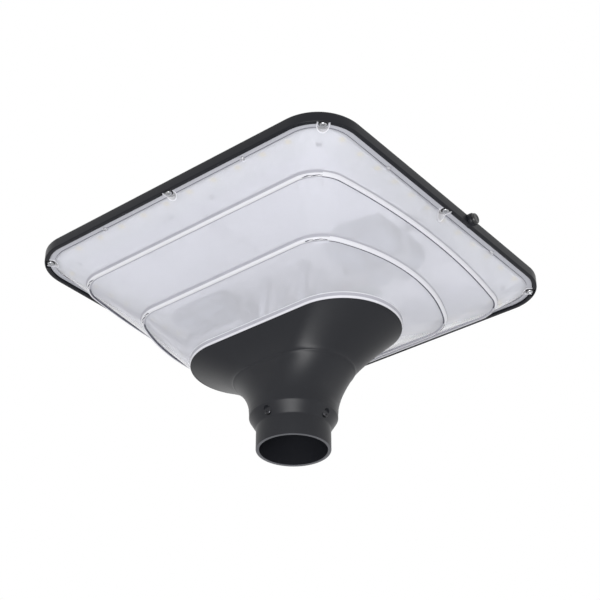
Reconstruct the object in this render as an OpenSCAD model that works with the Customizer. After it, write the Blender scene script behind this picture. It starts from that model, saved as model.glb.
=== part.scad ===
// Pole-top solar yard light: a square head with the panel on top, a stepped lens below it
// and a cast neck that takes the pole. The origin is the centre of the socket's mouth, +Z is up
// and the neck's long oval mouth lies along X.

/* [Head] */
// Length of each side of the square head
head_side = 400; // [380:1:440]
// Corner radius of the head in plan
head_corner_r = 48; // [44:1:58]
// Height of the upright side wall
rim_h = 10.8; // [10.4:0.2:14]
// Height of the crown above the side wall
crown_h = 4; // [3:0.5:6]
// How far the crown draws in from the side wall
crown_in = 8; // [5:0.5:10]
// Width of the frame round the panel
bezel_w = 14; // [13:0.5:17]
// Width of the lip on the underside
lip_w = 5; // [4:0.25:6]
// Thickness of the floor between panel and lens
floor_t = 3; // [2.5:0.25:4]

/* [Lens] */
// Wall of the lens
lens_wall = 2.4; // [2:0.1:3]
// Depth of the lens from the rim to the neck
lens_drop = 86.8; // [80:0.2:100]
// Distance of the first step from the head's edge, at the middle of the bowed sides
step1_in_x = 21.3; // [20:0.5:26]
// The same along the straight sides
step1_in_y = 38; // [34:0.5:42]
// Depth of the first step below the rim
step1_drop = 20.6; // [17:0.2:24]
// Corner radius of the first step
step1_corner_r = 37; // [32:1:44]
// Angle that half of its bowed side turns through
step1_bow = 10.2; // [4:0.2:16]
// Distance of the second step from the head's edge, at the middle of the bowed sides
step2_in_x = 47.7; // [42:0.5:54]
// The same along the straight sides
step2_in_y = 86.4; // [80:0.5:92]
// Depth of the second step below the rim
step2_drop = 51.5; // [47:0.5:56]
// Corner radius of the second step
step2_corner_r = 41; // [34:1:48]
// Angle that half of its bowed side turns through
step2_bow = 25.9; // [18:0.5:32]
// Height of each clear step
step_h = 4.5; // [3:0.25:6]
// Width of each clear step
step_w = 5; // [4:0.25:7]
// How much each tier sags inwards between its steps
tier_sag = 0.13; // [0:0.01:0.3]
// Radius of the screw lugs
lug_r = 6.2; // [5.8:0.1:6.6]
// Distance of the lens screws from the head's edge
lug_in = 9; // [8.9:0.05:9.3]
// How far the lugs hang below the rim
lug_drop = 4.5; // [3:0.25:5]
// Distance of the nubs from the middle of each side
nub_along = 90; // [70:1:110]

/* [Neck] */
// Height of the neck, from the socket's mouth to the lens
neck_h = 115.2; // [105:0.2:135]
// Length of the oval mouth
mouth_len = 246; // [220:1:256]
// Width of the oval mouth
mouth_w = 121.6; // [110:0.2:130]
// Height of the crease, where the flare begins
crease_h = 81; // [76:1:88]
// Length of the oval at the crease
crease_len = 133; // [120:1:150]
// Width of the oval at the crease
crease_w = 93.4; // [90.4:0.2:100]
// Height of the top of the round collar
collar_h = 39.2; // [37:0.2:44]
// Diameter of the collar
collar_d = 89.4; // [86:0.2:90]
// Height of the bevel's top edge
bevel_h = 34.2; // [32:0.2:36]
// Length of the sleeve below the bevel
sleeve_len = 22.9; // [18:0.1:24]
// Outer diameter of the sleeve
sleeve_d = 75; // [73:0.5:77]
// Diameter of the pole socket
socket_d = 68.2; // [66:0.1:69]
// Depth of the pole socket
socket_depth = 60; // [52:1:64]
// Wall of the neck
neck_wall = 3.6; // [3:0.1:4.5]
// Thickness of the plate that closes the neck's mouth
web_t = 4; // [3:0.25:5]
// Diameter of the set screws
set_screw_d = 8; // [6:0.5:8]
// Height of the set screws
set_screw_h = 28.2; // [27:0.2:30]

/* [Solar panel] */
// Thickness of the panel glass
glass_t = 3.2; // [2.6:0.1:3.6]
// Cells along each side
cell_count = 6; // [4:1:8]
// Gap between cells
cell_gap = 2.5; // [1.5:0.25:4]
// Cut on the corners of each cell
cell_cut = 5; // [2:0.5:8]

/* [Light] */
// Distance of the row of LEDs from the head's edge
led_in = 20; // [18:0.5:24]
// LEDs on each straight side of the lens
led_count_y = 10; // [8:2:12]
// LEDs on each bowed side of the lens
led_count_x = 12; // [8:2:12]
// Distance of the last LED of a straight side from the end of that side
led_end_y = 60.5; // [56:0.5:80]
// Distance of the last LED of a bowed side from the end of that side
led_end_x = 48.75; // [46:0.25:80]
// Width of the LED boards
board_w = 29; // [26:0.5:32]
// Thickness of the LED boards
board_t = 1.6; // [1:0.1:2]

/* [Power] */
// Diameter of a battery cell
cell_d = 32.6; // [26:0.2:34]
// Length of a battery cell
cell_len = 70.4; // [65:0.2:72]
// Spacing of the support posts along the neck's mouth
post_x = 52; // [48:1:58]
// Spacing of the support posts across the neck's mouth
post_y = 32; // [30:1:36]
// Diameter of a support post
post_d = 12; // [11:0.5:13]

/* [Push button] */
// Distance of the push button from the middle of its side
button_y = 36.5; // [30:0.5:37]
// Radius of the push button's boss
boss_r = 7; // [6.8:0.1:7.4]
// How far the boss stands out of the side wall
boss_out = 4; // [3.5:0.25:5]
// Radius of the push button's cap
cap_r = 5.8; // [5.5:0.1:6]
// How far the cap stands out of its boss
cap_out = 3; // [2.6:0.2:4]
// Travel of the push button
button_travel = 1.6; // [1:0.1:1.8]

/* [Hidden] */
$fn = 64;

// Small clearances: between parts that lift out, and round a screw
fit_gap = 0.3;
screw_gap = 0.12;

// Main heights, all from the socket's mouth
z_joint = neck_h;
joint_gap = 0.2;
z_lens = z_joint + joint_gap;
z_rim = z_lens + lens_drop;
half = head_side / 2;

// Lens edge: flange, seal and the ledge that they press on
flange_lift = 0.3;
flange_t = 3;
flange_in = bezel_w + 0.4;
z_flange = z_rim + flange_lift;
z_ledge = z_flange + flange_t;
seal_t = 2.2;
lug_wall = 1.6;
seal_out = lug_in + 2.4;
seal_w = 3;
z_floor = z_ledge + seal_t;
z_deck = z_floor + floor_t;
z_crown = z_rim + rim_h + crown_h;

// Lens outline keys: half length, half width, corner radius and bow angle of each plan
straight_bow = 0.2;
root_in = bezel_w - 2.5;
root_plan = [half - root_in, half - root_in, head_corner_r - root_in, straight_bow];
step1_plan = [half - step1_in_x, half - step1_in_y, step1_corner_r, step1_bow];
step2_plan = [half - step2_in_x, half - step2_in_y, step2_corner_r, step2_bow];
mouth_bow = 45;
mouth_plan = [mouth_len / 2, mouth_w / 2, mouth_w / 2, mouth_bow];
skirt_h = 6.3;
skirt_lean = 1.4;
lip_lift = 0.3;
lip_t = 2.4;
groove_depth = 1.2;
groove_out = 2.1;
neck_seal_t = groove_depth + joint_gap + lip_lift;
bow_points = 6;
corner_points = 7;

// Panel stack on the deck
panel_seal_t = 1;
backsheet_t = 0.6;
cell_t = 0.4;
panel_half = half - bezel_w - 0.6;
panel_corner_r = head_corner_r - bezel_w - 0.6;
panel_margin = 9;
z_back = z_deck + panel_seal_t;
z_cells = z_back + backsheet_t;
z_glass = z_cells + cell_t;
lead_y = 44;
grommet_r = 4;

// LED boards
z_board = z_floor - board_t;
board_out = seal_out + seal_w + fit_gap;
board_in = board_out + board_w;
board_gap = 1;
led_size = 5;
led_t = 0.8;
board_screw_in = board_in - 4.5;
board_screw_x = 27;
pad_x = 15;
led_pitch_y = 2 * (half - led_end_y) / (led_count_y - 1);
led_pitch_x = 2 * (half - led_end_x) / (led_count_x - 1);

// Tray below the floor, and what hangs from it
tray_t = 0.8;
tray_half = half - board_in - fit_gap;
tray_corner_r = max(head_corner_r - board_in, 2);
z_tray = z_floor - tray_t;

// Screws: radius, head radius and head height
m3 = [1.5, 2.8, 1.8];
m4 = [2, 3.5, 2.6];
m6 = [3, 5, 5.5];
lens_screw_len = 9;
board_screw_bite = 2;

post_bore_low = 18;
post_bore_high = 16;
post_screw_bite = 12;

// Neck
collar_r = collar_d / 2;
socket_r = socket_d / 2;
sleeve_r = sleeve_d / 2;
crease_c = (crease_len - crease_w) / 2;
crease_r = crease_w / 2;
flare_power_len = 1.22;
flare_power_w = 1.6;
stem_power_len = 2;
stem_power_w = 0.7;
oval_points = 18;
neck_inset = 0.72 * neck_wall;
z_web = z_joint - web_t;
boss_drop = 10;
neck_boss_r = 7;
lip_out = 1.2;
lip_in = 5.2;
spigot_w = 2.4;
stop_t = 3;

// Battery packs: two cells side by side, lying across the head
cradle_t = 2;
cradle_side = 2;
z_cradle = z_tray - cradle_t;
cell_pitch = cell_d + 1;
cell_z = z_cradle - fit_gap - cell_d / 2;
cradle_len = cell_len + 2 * cradle_side + 2;
cradle_w = cell_pitch + cell_d + 2 * cradle_side + 1;
strap_t = 1.2;
strap_w = 12;
strap_foot = 12;
strap_reach = cradle_w / 2 + 0.6 + strap_t + strap_foot;
battery_x = tray_half - 0.6 - strap_reach;
link_t = 0.5;
link_w = 8;

// Controller board, hung from the floor on the far side of the posts, and what stands on it
coil_r = 8;
coil_h = 9;
capacitor_r = 5;
capacitor_h = 13;
chip_size = [8, 11, 3];
socket_size = [10, 7, 8];
socket_pitch = 15;
part_pitch = 12;
control_y = 74;
control_w = 92;
control_d = 44;
control_t = 1.6;
standoff_h = 6;
standoff_in = 5;
z_control = z_floor - standoff_h - control_t;

// Push button
z_button = z_floor + floor_t / 2;
boss_x = half + boss_out;
boss_root = boss_out + lip_w - 0.4;
cap_x = boss_x + cap_out;
cap_gap = 0.25;
pocket_x = half - 2;
switch_t = 2.2;
plunger_r = 1.8;
button_lead_r = 0.6;
lead_hole_r = 0.9;
lead_drop_x = half - board_out - 2.2;

// Leads
lead_r = 1.1;
lead_sides = 10;
lead_bend = 3;
clip_w = 12;
clip_len = 8;
z_lead = z_board - lead_r - 0.4;

housing_colour = [0.21, 0.22, 0.23];
clear_colour = [0.88, 0.9, 0.93, 0.6];
steel_colour = [0.7, 0.71, 0.72];
white_colour = [0.94, 0.94, 0.95];
board_colour = [0.9, 0.91, 0.9];
rubber_colour = [0.12, 0.12, 0.12];

// Points of one quarter of a lens plan, from the middle of the bowed side to the straight side
function quarter_plan(p) =
    let (
        a = p[0],
        b = p[1],
        corner = p[2],
        bow = p[3],
        bow_r = corner + (b - corner) / sin(bow),
        bow_x = a - bow_r,
        corner_x = bow_x + (bow_r - corner) * cos(bow)
    )
    concat(
        [for (i = [0:bow_points - 1])
            let (t = bow * (i + 0.5) / bow_points) [bow_x + bow_r * cos(t), bow_r * sin(t)]],
        [for (i = [0:corner_points - 1])
            let (t = bow + (90 - bow) * (i + 0.5) / corner_points)
                [corner_x + corner * cos(t), b - corner + corner * sin(t)]]
    );

function backwards(v) = [for (i = [len(v) - 1:-1:0]) v[i]];

// A full lens plan: the quarter mirrored round, anticlockwise
function full_plan(p) =
    let (q = quarter_plan(p), r = backwards(q))
    concat(q, [for (v = r) [-v[0], v[1]]], [for (v = q) [-v[0], -v[1]]], [for (v = r) [v[0], -v[1]]]);

// A plan drawn in by d all round
function inset_plan(p, d) = [p[0] - d, p[1] - d, p[2] - d, p[3]];

function at_height(outline, z) = [for (v = outline) [v[0], v[1], z]];

function mix(u, v, t) = [for (i = [0:len(u) - 1]) u[i] * (1 - t) + v[i] * t];

// Rings of one tier of the lens between two plans, sagging inwards a little
function tier(from, z0, to, z1, count) =
    let (u = full_plan(from), v = full_plan(to))
    [for (k = [1:count - 1])
        let (t = k / count, s = t + tier_sag * t * (1 - t))
            at_height([for (i = [0:len(u) - 1]) mix(u[i], v[i], s)], z0 + (z1 - z0) * t)];

// Rings of one clear step: a wall, a rounded shoulder, a land and a small drop back
function step_rings(p, z) = [
    at_height(full_plan(p), z),
    at_height(full_plan(inset_plan(p, 0.22 * step_w)), z - 0.8 * step_h),
    at_height(full_plan(inset_plan(p, 0.45 * step_w)), z - step_h),
    at_height(full_plan(inset_plan(p, 0.9 * step_w)), z - 1.08 * step_h),
    at_height(full_plan(inset_plan(p, step_w)), z - 0.9 * step_h)
];

// An oval of two half circles of radius r, their centres c either side of the middle
function oval(c, r) = concat(
    [for (i = [0:oval_points - 1])
        let (t = -90 + 180 * (i + 0.5) / oval_points) [c + r * cos(t), r * sin(t)]],
    [for (i = [0:oval_points - 1])
        let (t = 90 + 180 * (i + 0.5) / oval_points) [-c + r * cos(t), r * sin(t)]]
);

// Half length and half width of the neck at height z
function neck_size(z) =
    z >= crease_h
    ? let (t = (z - crease_h) / (z_joint - crease_h))
        [crease_len / 2 + (mouth_len - crease_len) / 2 * pow(t, flare_power_len),
         crease_r + (mouth_w / 2 - crease_r) * pow(t, flare_power_w)]
    : let (t = max(z - collar_h, 0) / (crease_h - collar_h))
        [collar_r + (crease_len / 2 - collar_r) * pow(t, stem_power_len),
         collar_r + (crease_r - collar_r) * pow(t, stem_power_w)];

// The neck's section at height z, drawn in by d
function neck_ring(z, d = 0) =
    let (s = neck_size(z), r = min(s[0], s[1]) - d) oval(max(s[0] - s[1], 0), r);

// Triangles between ring k and the next, for rings of n points
function band(k, next, n) = [
    for (i = [0:n - 1])
        let (j = (i + 1) % n)
            each [[k * n + i, next * n + j, next * n + i], [k * n + i, k * n + j, next * n + j]]
];

// A closed shell whose rings run down its outside and up its inside
module ring_shell(rings) {
    n = len(rings[0]);
    m = len(rings);
    polyhedron(
        points = [for (ring = rings) each ring],
        faces = [for (k = [0:m - 1]) each band(k, (k + 1) % m, n)]
    );
}

// A solid whose rings run from its top to its bottom
module ring_solid(rings) {
    n = len(rings[0]);
    m = len(rings);
    polyhedron(
        points = [for (ring = rings) each ring],
        faces = concat(
            [for (k = [0:m - 2]) each band(k, k + 1, n)],
            [[for (i = [0:n - 1]) n - 1 - i]],
            [[for (i = [0:n - 1]) (m - 1) * n + i]]
        )
    );
}

module rounded_square(h, r) {
    square([2 * (h - r), 2 * h], center = true);
    square([2 * h, 2 * (h - r)], center = true);
    for (sx = [-1, 1], sy = [-1, 1])
        translate([sx * (h - r), sy * (h - r)]) circle(r);
}

module slab(inset, z, t) {
    translate([0, 0, z]) linear_extrude(t) rounded_square(half - inset, head_corner_r - inset);
}

module frame_ring(inset, width, z, t) {
    difference() {
        slab(inset, z, t);
        slab(inset + width, z - 1, t + 2);
    }
}

// Sweeps a section round the head's outline; its x runs outwards from the head's edge
module round_the_edge() {
    run = half - head_corner_r;
    for (a = [0:90:270]) rotate(a) {
        translate([run, run, 0]) rotate_extrude(angle = 90) translate([head_corner_r, 0]) children();
        translate([half, -run, 0]) rotate([90, 0, 180]) mirror([1, 0, 0]) linear_extrude(2 * run)
            children();
    }
}

// The eight places of the lens screws: four corners and the middle of each side
corner_place = half - head_corner_r + (head_corner_r - lug_in) * cos(45);
lug_places = concat(
    [for (sx = [-1, 1], sy = [-1, 1]) [sx * corner_place, sy * corner_place]],
    [for (s = [-1, 1]) [s * (half - lug_in), 0]],
    [for (s = [-1, 1]) [0, s * (half - lug_in)]]
);

post_places = [for (sx = [-1, 1], sy = [-1, 1]) [sx * post_x / 2, sy * post_y / 2]];

// A screw with its head below, pointing up from z
module screw(s, z, length) {
    translate([0, 0, z - s[2]]) difference() {
        cylinder(r = s[1], h = s[2]);
        translate([0, 0, -1]) cylinder(r = 0.5 * s[1], h = 1 + 0.5 * s[2], $fn = 6);
    }
    translate([0, 0, z - 0.01]) cylinder(r = s[0], h = length);
}

function unit(v) = v / norm(v);

// The points of a lead's middle line, with every bend rounded to radius r
function bent(points, r) = [
    for (i = [0:len(points) - 1])
        if (i == 0 || i == len(points) - 1) points[i]
        else
            let (
                u = unit(points[i - 1] - points[i]),
                v = unit(points[i + 1] - points[i]),
                cut = min(r, 0.45 * norm(points[i - 1] - points[i]), 0.45 * norm(points[i + 1] - points[i])),
                a = points[i] + cut * u,
                c = points[i] + cut * v
            )
            each [for (t = [0:lead_bend]) let (s = t / lead_bend)
                (1 - s) * (1 - s) * a + 2 * s * (1 - s) * points[i] + s * s * c]
];

// A direction square to d that carries on from the one before
function carried(d, before) = unit(before - (before * d) * d);

// A lead along its points: rings round its middle line, square to it and without twist
module lead(points, r, bend = 5) {
    path = bent(points, bend);
    last = len(path) - 1;
    along = [for (i = [0:last])
        unit(unit(path[min(i + 1, last)] - path[min(i, last - 1)]) + unit(path[max(i, 1)] - path[max(i - 1, 0)]))];
    start = abs(along[0][0]) < 0.8 ? [1, 0, 0] : [0, 1, 0];
    side = [for (i = 0, d = carried(along[0], start); i <= last;
        i = i + 1, d = i <= last ? carried(along[i], d) : d) d];
    ring_solid([for (i = [0:last]) let (u = side[i], v = cross(along[i], u))
        [for (k = [0:lead_sides - 1]) let (a = -360 * k / lead_sides) path[i] + r * (cos(a) * u + sin(a) * v)]]);
}

module top_housing() {
    top = rim_h + crown_h;
    floor_low = z_floor - z_rim;
    ledge_low = z_ledge + 0.2 - z_rim;
    color(housing_colour) difference() {
        union() {
            translate([0, 0, z_rim]) round_the_edge() polygon([
                [-1, 0], [-0.3, 0.3], [0, 1],
                [0, rim_h - 1], [-0.2, rim_h],
                [-0.35 * crown_in, rim_h + 0.6 * crown_h],
                [-0.75 * crown_in, rim_h + 0.93 * crown_h],
                [-crown_in, top], [-bezel_w + 0.6, top], [-bezel_w, top - 0.6],
                [-bezel_w, z_deck - z_rim - 1], [-bezel_w - 3, z_deck - z_rim - 1],
                [-bezel_w - 3, floor_low], [-seal_out + 0.2, floor_low],
                [-seal_out + 0.2, ledge_low], [-lip_w, ledge_low], [-lip_w, 0.5], [-lip_w + 0.5, 0]
            ]);
            slab(bezel_w - 1, z_floor, floor_t);
            translate([boss_x - boss_root, button_y, z_button]) rotate([0, 90, 0]) rotate_extrude() polygon([
                [0, 0], [boss_r, 0], [boss_r - 0.2, boss_root], [boss_r - 0.7, boss_root + 0.6],
                [0, boss_root + 0.6]
            ]);
        }
        for (p = lug_places) translate([p[0], p[1], z_rim])
            cylinder(r = m4[0] + screw_gap, h = flange_lift + lens_screw_len + 1);
        translate([pocket_x, button_y, z_button]) rotate([0, 90, 0])
            cylinder(r = cap_r + cap_gap, h = boss_out + 10);
        translate([lead_drop_x, button_y, z_button]) rotate([0, 90, 0]) cylinder(r = lead_hole_r, h = bezel_w + 6);
        translate([lead_drop_x, button_y, z_floor - 1]) cylinder(r = lead_hole_r, h = z_button - z_floor + 1);
        translate([0, lead_y, z_floor - 1]) cylinder(r = grommet_r, h = floor_t + 2);
        for (p = post_places) translate([p[0], p[1], z_floor - 1]) {
            cylinder(r = m4[0] + screw_gap, h = floor_t + 2);
            translate([0, 0, 1 + floor_t - m4[2]])
                cylinder(r1 = m4[0] + screw_gap, r2 = m4[1] + 0.3, h = m4[2]);
        }
        hanging_holes();
    }
}

// Blind holes in the floor for what hangs from it
module hanging_holes() {
    for (p = board_screw_places()) translate([p[0], p[1], z_floor - 1])
        cylinder(r = m3[0] + screw_gap, h = 1 + board_screw_bite);
    for (p = strap_places()) translate([p[0], p[1], z_floor - 1])
        cylinder(r = m3[0] + screw_gap, h = 1 + board_screw_bite);
    for (p = standoff_places()) translate([p[0], p[1], z_floor - 1])
        cylinder(r = m3[0] + screw_gap, h = 1 + board_screw_bite);
}

function board_screw_places() = let (e = half - board_screw_in) concat(
    [for (sx = [-1, 1], sy = [-1, 1]) [sx * (e - 1.5), sy * (e - 1.5)]],
    [for (sx = [-1, 1], sy = [-1, 1]) [sx * board_screw_x, sy * e]],
    [for (s = [-1, 1]) [s * e, 0]]
);

function strap_places() = [
    for (sx = [-1, 1], sy = [-1, 1])
        [sx * battery_x + sy * (cradle_w / 2 + 0.6 + strap_t + strap_foot / 2), 0]
];

function standoff_places() = [
    for (sx = [-1, 1], sy = [-1, 1])
        [sx * (control_w / 2 - standoff_in), control_y + sy * (control_d / 2 - standoff_in)]
];

module panel_glass() {
    color([0.75, 0.82, 0.9, 0.4]) translate([0, 0, z_glass]) linear_extrude(glass_t)
        rounded_square(panel_half, panel_corner_r);
}

module panel_cells() {
    side = 2 * (panel_half - panel_margin);
    pitch = (side + cell_gap) / cell_count;
    s = (pitch - cell_gap) / 2;
    color([0.06, 0.08, 0.16]) for (i = [0:cell_count - 1], j = [0:cell_count - 1])
        translate([(i - (cell_count - 1) / 2) * pitch, (j - (cell_count - 1) / 2) * pitch, z_cells])
            linear_extrude(cell_t) polygon([
                [s, s - cell_cut], [s - cell_cut, s], [-s + cell_cut, s], [-s, s - cell_cut],
                [-s, -s + cell_cut], [-s + cell_cut, -s], [s - cell_cut, -s], [s, -s + cell_cut]
            ]);
}

module panel_backsheet() {
    color(white_colour) translate([0, 0, z_back]) linear_extrude(backsheet_t)
        rounded_square(panel_half, panel_corner_r);
}

module panel_seal() {
    color(rubber_colour) translate([0, 0, z_deck]) linear_extrude(panel_seal_t) difference() {
        rounded_square(panel_half - 0.4, panel_corner_r - 0.4);
        rounded_square(panel_half - 8, panel_corner_r - 8);
    }
}

module panel_grommet() {
    color(rubber_colour) translate([0, lead_y, 0]) rotate_extrude() polygon([
        [lead_r + screw_gap, z_tray - 1.2], [grommet_r + 1.5, z_tray - 1.2], [grommet_r + 1.5, z_tray - 0.1],
        [grommet_r - 0.15, z_tray - 0.1], [grommet_r - 0.15, z_deck], [lead_r + screw_gap, z_deck]
    ]);
}

module panel_lead() {
    color([0.6, 0.1, 0.1]) lead([
        [0, lead_y, z_back - 0.1], [0, lead_y, z_control + control_t + 2],
        [0, control_y - control_d / 2 + 5, z_control + control_t + 2],
        [0, control_y - control_d / 2 + 5, z_control + control_t + 0.1]
    ], lead_r, 1.5);
}

module lens() {
    t = 0.8 * lens_wall;
    z1 = z_rim - step1_drop;
    z2 = z_rim - step2_drop;
    z3 = z_lens;
    after1 = inset_plan(step1_plan, step_w);
    after2 = inset_plan(step2_plan, step_w);
    skirt_plan = inset_plan(mouth_plan, -skirt_lean);
    root_z = z_rim - 1.2;
    drop_back = 0.9 * step_h;
    outside = concat(
        [at_height(full_plan(root_plan), z_flange + 1.7), at_height(full_plan(root_plan), root_z)],
        tier(root_plan, root_z, step1_plan, z1, 4),
        step_rings(step1_plan, z1),
        tier(after1, z1 - drop_back, step2_plan, z2, 4),
        step_rings(step2_plan, z2),
        tier(after2, z2 - drop_back, skirt_plan, z3 + skirt_h, 4),
        [at_height(full_plan(skirt_plan), z3 + skirt_h), at_height(full_plan(mouth_plan), z3)]
    );
    inside = concat(
        [at_height(full_plan(inset_plan(mouth_plan, t)), z3),
         at_height(full_plan(inset_plan(skirt_plan, t)), z3 + skirt_h + t)],
        tier(inset_plan(skirt_plan, t), z3 + skirt_h + t, inset_plan(after2, t), z2 - drop_back + t, 3),
        [at_height(full_plan(inset_plan(after2, t)), z2 - drop_back + t),
         at_height(full_plan(inset_plan(step2_plan, t)), z2 + t)],
        tier(inset_plan(step2_plan, t), z2 + t, inset_plan(after1, t), z1 - drop_back + t, 3),
        [at_height(full_plan(inset_plan(after1, t)), z1 - drop_back + t),
         at_height(full_plan(inset_plan(step1_plan, t)), z1 + t)],
        tier(inset_plan(step1_plan, t), z1 + t, inset_plan(root_plan, t), root_z + t, 3),
        [at_height(full_plan(inset_plan(root_plan, t)), root_z + t),
         at_height(full_plan(inset_plan(root_plan, t)), z_flange + 1.7)]
    );
    color(clear_colour) difference() {
        union() {
            ring_shell(concat(outside, inside));
            frame_ring(lip_w + fit_gap, flange_in - lip_w - fit_gap, z_flange, flange_t);
            translate([0, 0, z_rim - lug_drop]) linear_extrude(lug_drop + flange_lift + flange_t - 0.2) intersection() {
                for (p = lug_places) lug_outline(p, lug_r);
                rounded_square(half - lip_w - fit_gap - 0.1, head_corner_r - lip_w - fit_gap - 0.1);
            }
            for (a = [0:90:270], s = [-1, 1]) rotate(a) translate([half - lug_in, s * nub_along, z_rim - 1.8])
                cylinder(r = 2.2, h = 2.4);
            translate([0, 0, z3 + lip_lift]) linear_extrude(lip_t) difference() {
                mouth_outline(lip_out);
                mouth_outline(lip_in);
            }
        }
        for (p = lug_places) translate([p[0], p[1], z_rim - lug_drop - 1])
            cylinder(r = m4[0] + screw_gap, h = lug_drop + flange_lift + flange_t + 2);
        translate([0, 0, z_rim - lug_drop - 1]) linear_extrude(lug_drop + 1 + flange_lift)
            for (p = lug_places) lug_outline(p, lug_r - lug_wall);
    }
}

// A lug's plan: a half circle on the inside, open towards the lens's edge
module lug_outline(place, r) {
    translate(place) rotate(atan2(place[1], place[0])) {
        circle(r);
        translate([0, -r]) square([2 * lug_in, 2 * r]);
    }
}

// The oval of the neck's mouth, drawn in by d
module mouth_outline(d = 0) {
    r = mouth_w / 2 - d;
    c = (mouth_len - mouth_w) / 2;
    for (s = [-1, 1]) translate([s * c, 0]) circle(r);
    square([2 * c, 2 * r], center = true);
}

module lens_seal() {
    color(rubber_colour) frame_ring(seal_out, seal_w, z_ledge, seal_t);
}

module lens_screws() {
    color(steel_colour) for (p = lug_places)
        translate([p[0], p[1], 0]) screw(m4, z_flange, lens_screw_len);
}

module board_half(side) {
    difference() {
        translate([0, 0, z_board]) linear_extrude(board_t) intersection() {
            difference() {
                rounded_square(half - board_out, head_corner_r - board_out);
                rounded_square(half - board_in, max(head_corner_r - board_in, 2));
            }
            translate([side * (half / 2 + board_gap / 2), 0]) square([half, 2 * half], center = true);
        }
        for (p = board_screw_places()) translate([p[0], p[1], z_board - 1])
            cylinder(r = m3[0] + screw_gap, h = board_t + 2);
        translate([lead_drop_x, button_y, z_board - 1]) cylinder(r = lead_hole_r + 0.4, h = board_t + 2);
    }
}

module led_board_left() {
    color(board_colour) board_half(-1);
}

module led_board_right() {
    color(board_colour) board_half(1);
}

function row_places(count, pitch) = [for (i = [0:count - 1]) (i - (count - 1) / 2) * pitch];

module led_chips(side) {
    row = half - led_in;
    color([0.95, 0.85, 0.45]) {
        for (y = row_places(led_count_x, led_pitch_x)) translate([side * row, y, z_board - led_t / 2])
            cube([led_size, led_size, led_t], center = true);
        for (x = row_places(led_count_y, led_pitch_y), sy = [-1, 1]) if (x * side > 0)
            translate([x, sy * row, z_board - led_t / 2]) cube([led_size, led_size, led_t], center = true);
    }
}

module led_chips_left() {
    led_chips(-1);
}

module led_chips_right() {
    led_chips(1);
}

module board_screws() {
    color(steel_colour) for (p = board_screw_places())
        translate([p[0], p[1], 0]) screw(m3, z_board, board_t + board_screw_bite - 0.3);
}

module reflector_tray() {
    color(white_colour) difference() {
        translate([0, 0, z_tray]) linear_extrude(tray_t) rounded_square(tray_half, tray_corner_r);
        for (p = post_places) translate([p[0], p[1], z_tray - 1]) cylinder(d = post_d + 1, h = tray_t + 2);
        for (p = standoff_places()) translate([p[0], p[1], z_tray - 1]) cylinder(r = 3.5, h = tray_t + 2);
        for (p = strap_places()) translate([p[0], p[1], z_tray - 1])
            cylinder(r = m3[0] + screw_gap, h = tray_t + 2);
        translate([0, lead_y, z_tray - 1]) cylinder(r = grommet_r, h = tray_t + 2);
    }
}

module neck() {
    rise = z_joint - crease_h;
    stem = crease_h - collar_h;
    foot_z = collar_h - 3;
    outer = concat(
        [for (k = [0:7]) at_height(neck_ring(z_joint - rise * k / 7), z_joint - rise * k / 7)],
        [for (k = [1:5]) at_height(neck_ring(crease_h - stem * k / 5, k == 5 ? 0.1 : 0), crease_h - stem * k / 5)],
        [at_height(oval(0, collar_r - 1.2), foot_z)]
    );
    hollow_top = z_web - neck_inset;
    hollow_rise = hollow_top - crease_h;
    hollow_stem = crease_h + neck_inset - socket_depth;
    hollow = concat(
        [for (k = [0:5]) let (z = hollow_top - hollow_rise * k / 5) at_height(neck_ring(z, neck_inset), z + neck_inset)],
        [for (k = [1:3]) let (z = crease_h - hollow_stem * k / 3) at_height(neck_ring(z, neck_inset), z + neck_inset)]
    );
    color(housing_colour) difference() {
        union() {
            difference() {
                ring_solid(outer);
                ring_solid(hollow);
            }
            rotate_extrude() polygon([
                [socket_r - 4, 0], [sleeve_r - 0.6, 0], [sleeve_r, 0.6], [sleeve_r, sleeve_len],
                [collar_r - 0.6, bevel_h - 0.4], [collar_r, bevel_h + 0.6], [collar_r, collar_h],
                [collar_r - 1.8, collar_h], [collar_r - 1.8, socket_depth + stop_t],
                [socket_r - 4, socket_depth + stop_t]
            ]);
            for (p = post_places) translate([p[0], p[1], z_web - boss_drop])
                cylinder(r = neck_boss_r, h = boss_drop + 1);
            spigot();
        }
        translate([0, 0, -1]) cylinder(r = socket_r, h = socket_depth + 1, $fn = 96);
        translate([0, 0, socket_depth - 1]) cylinder(r = socket_r - 3, h = stop_t + 3);
        translate([0, 0, z_joint - groove_depth]) linear_extrude(groove_depth + 1) difference() {
            mouth_outline(groove_out);
            mouth_outline(lip_in + 0.1);
        }
        for (a = [0:90:270]) rotate([0, 0, a]) translate([0, 0, set_screw_h]) rotate([0, 90, 0]) {
            cylinder(r = set_screw_d / 2 + screw_gap, h = collar_r + 10);
            translate([0, 0, collar_r - 3.6]) cylinder(r = set_screw_d / 2 + 0.9, h = 12);
        }
        for (p = post_places) translate([p[0], p[1], z_web - boss_drop - 1])
            cylinder(r = m6[0] + screw_gap, h = boss_drop + web_t + 8);
    }
}

// The low ring on the neck's mouth that the lens's inner lip goes round
module spigot() {
    translate([0, 0, z_joint - 1]) linear_extrude(1 + joint_gap + lip_lift + lip_t) difference() {
        mouth_outline(lip_in + fit_gap);
        mouth_outline(lip_in + fit_gap + spigot_w);
    }
}

module neck_seal() {
    color(rubber_colour) translate([0, 0, z_joint - groove_depth]) linear_extrude(neck_seal_t) difference() {
        mouth_outline(groove_out + 0.1);
        mouth_outline(lip_in - 0.1);
    }
}

module neck_screws() {
    color(steel_colour) for (p = post_places)
        translate([p[0], p[1], 0]) screw(m6, z_web - boss_drop, boss_drop + web_t + 16);
}

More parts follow.
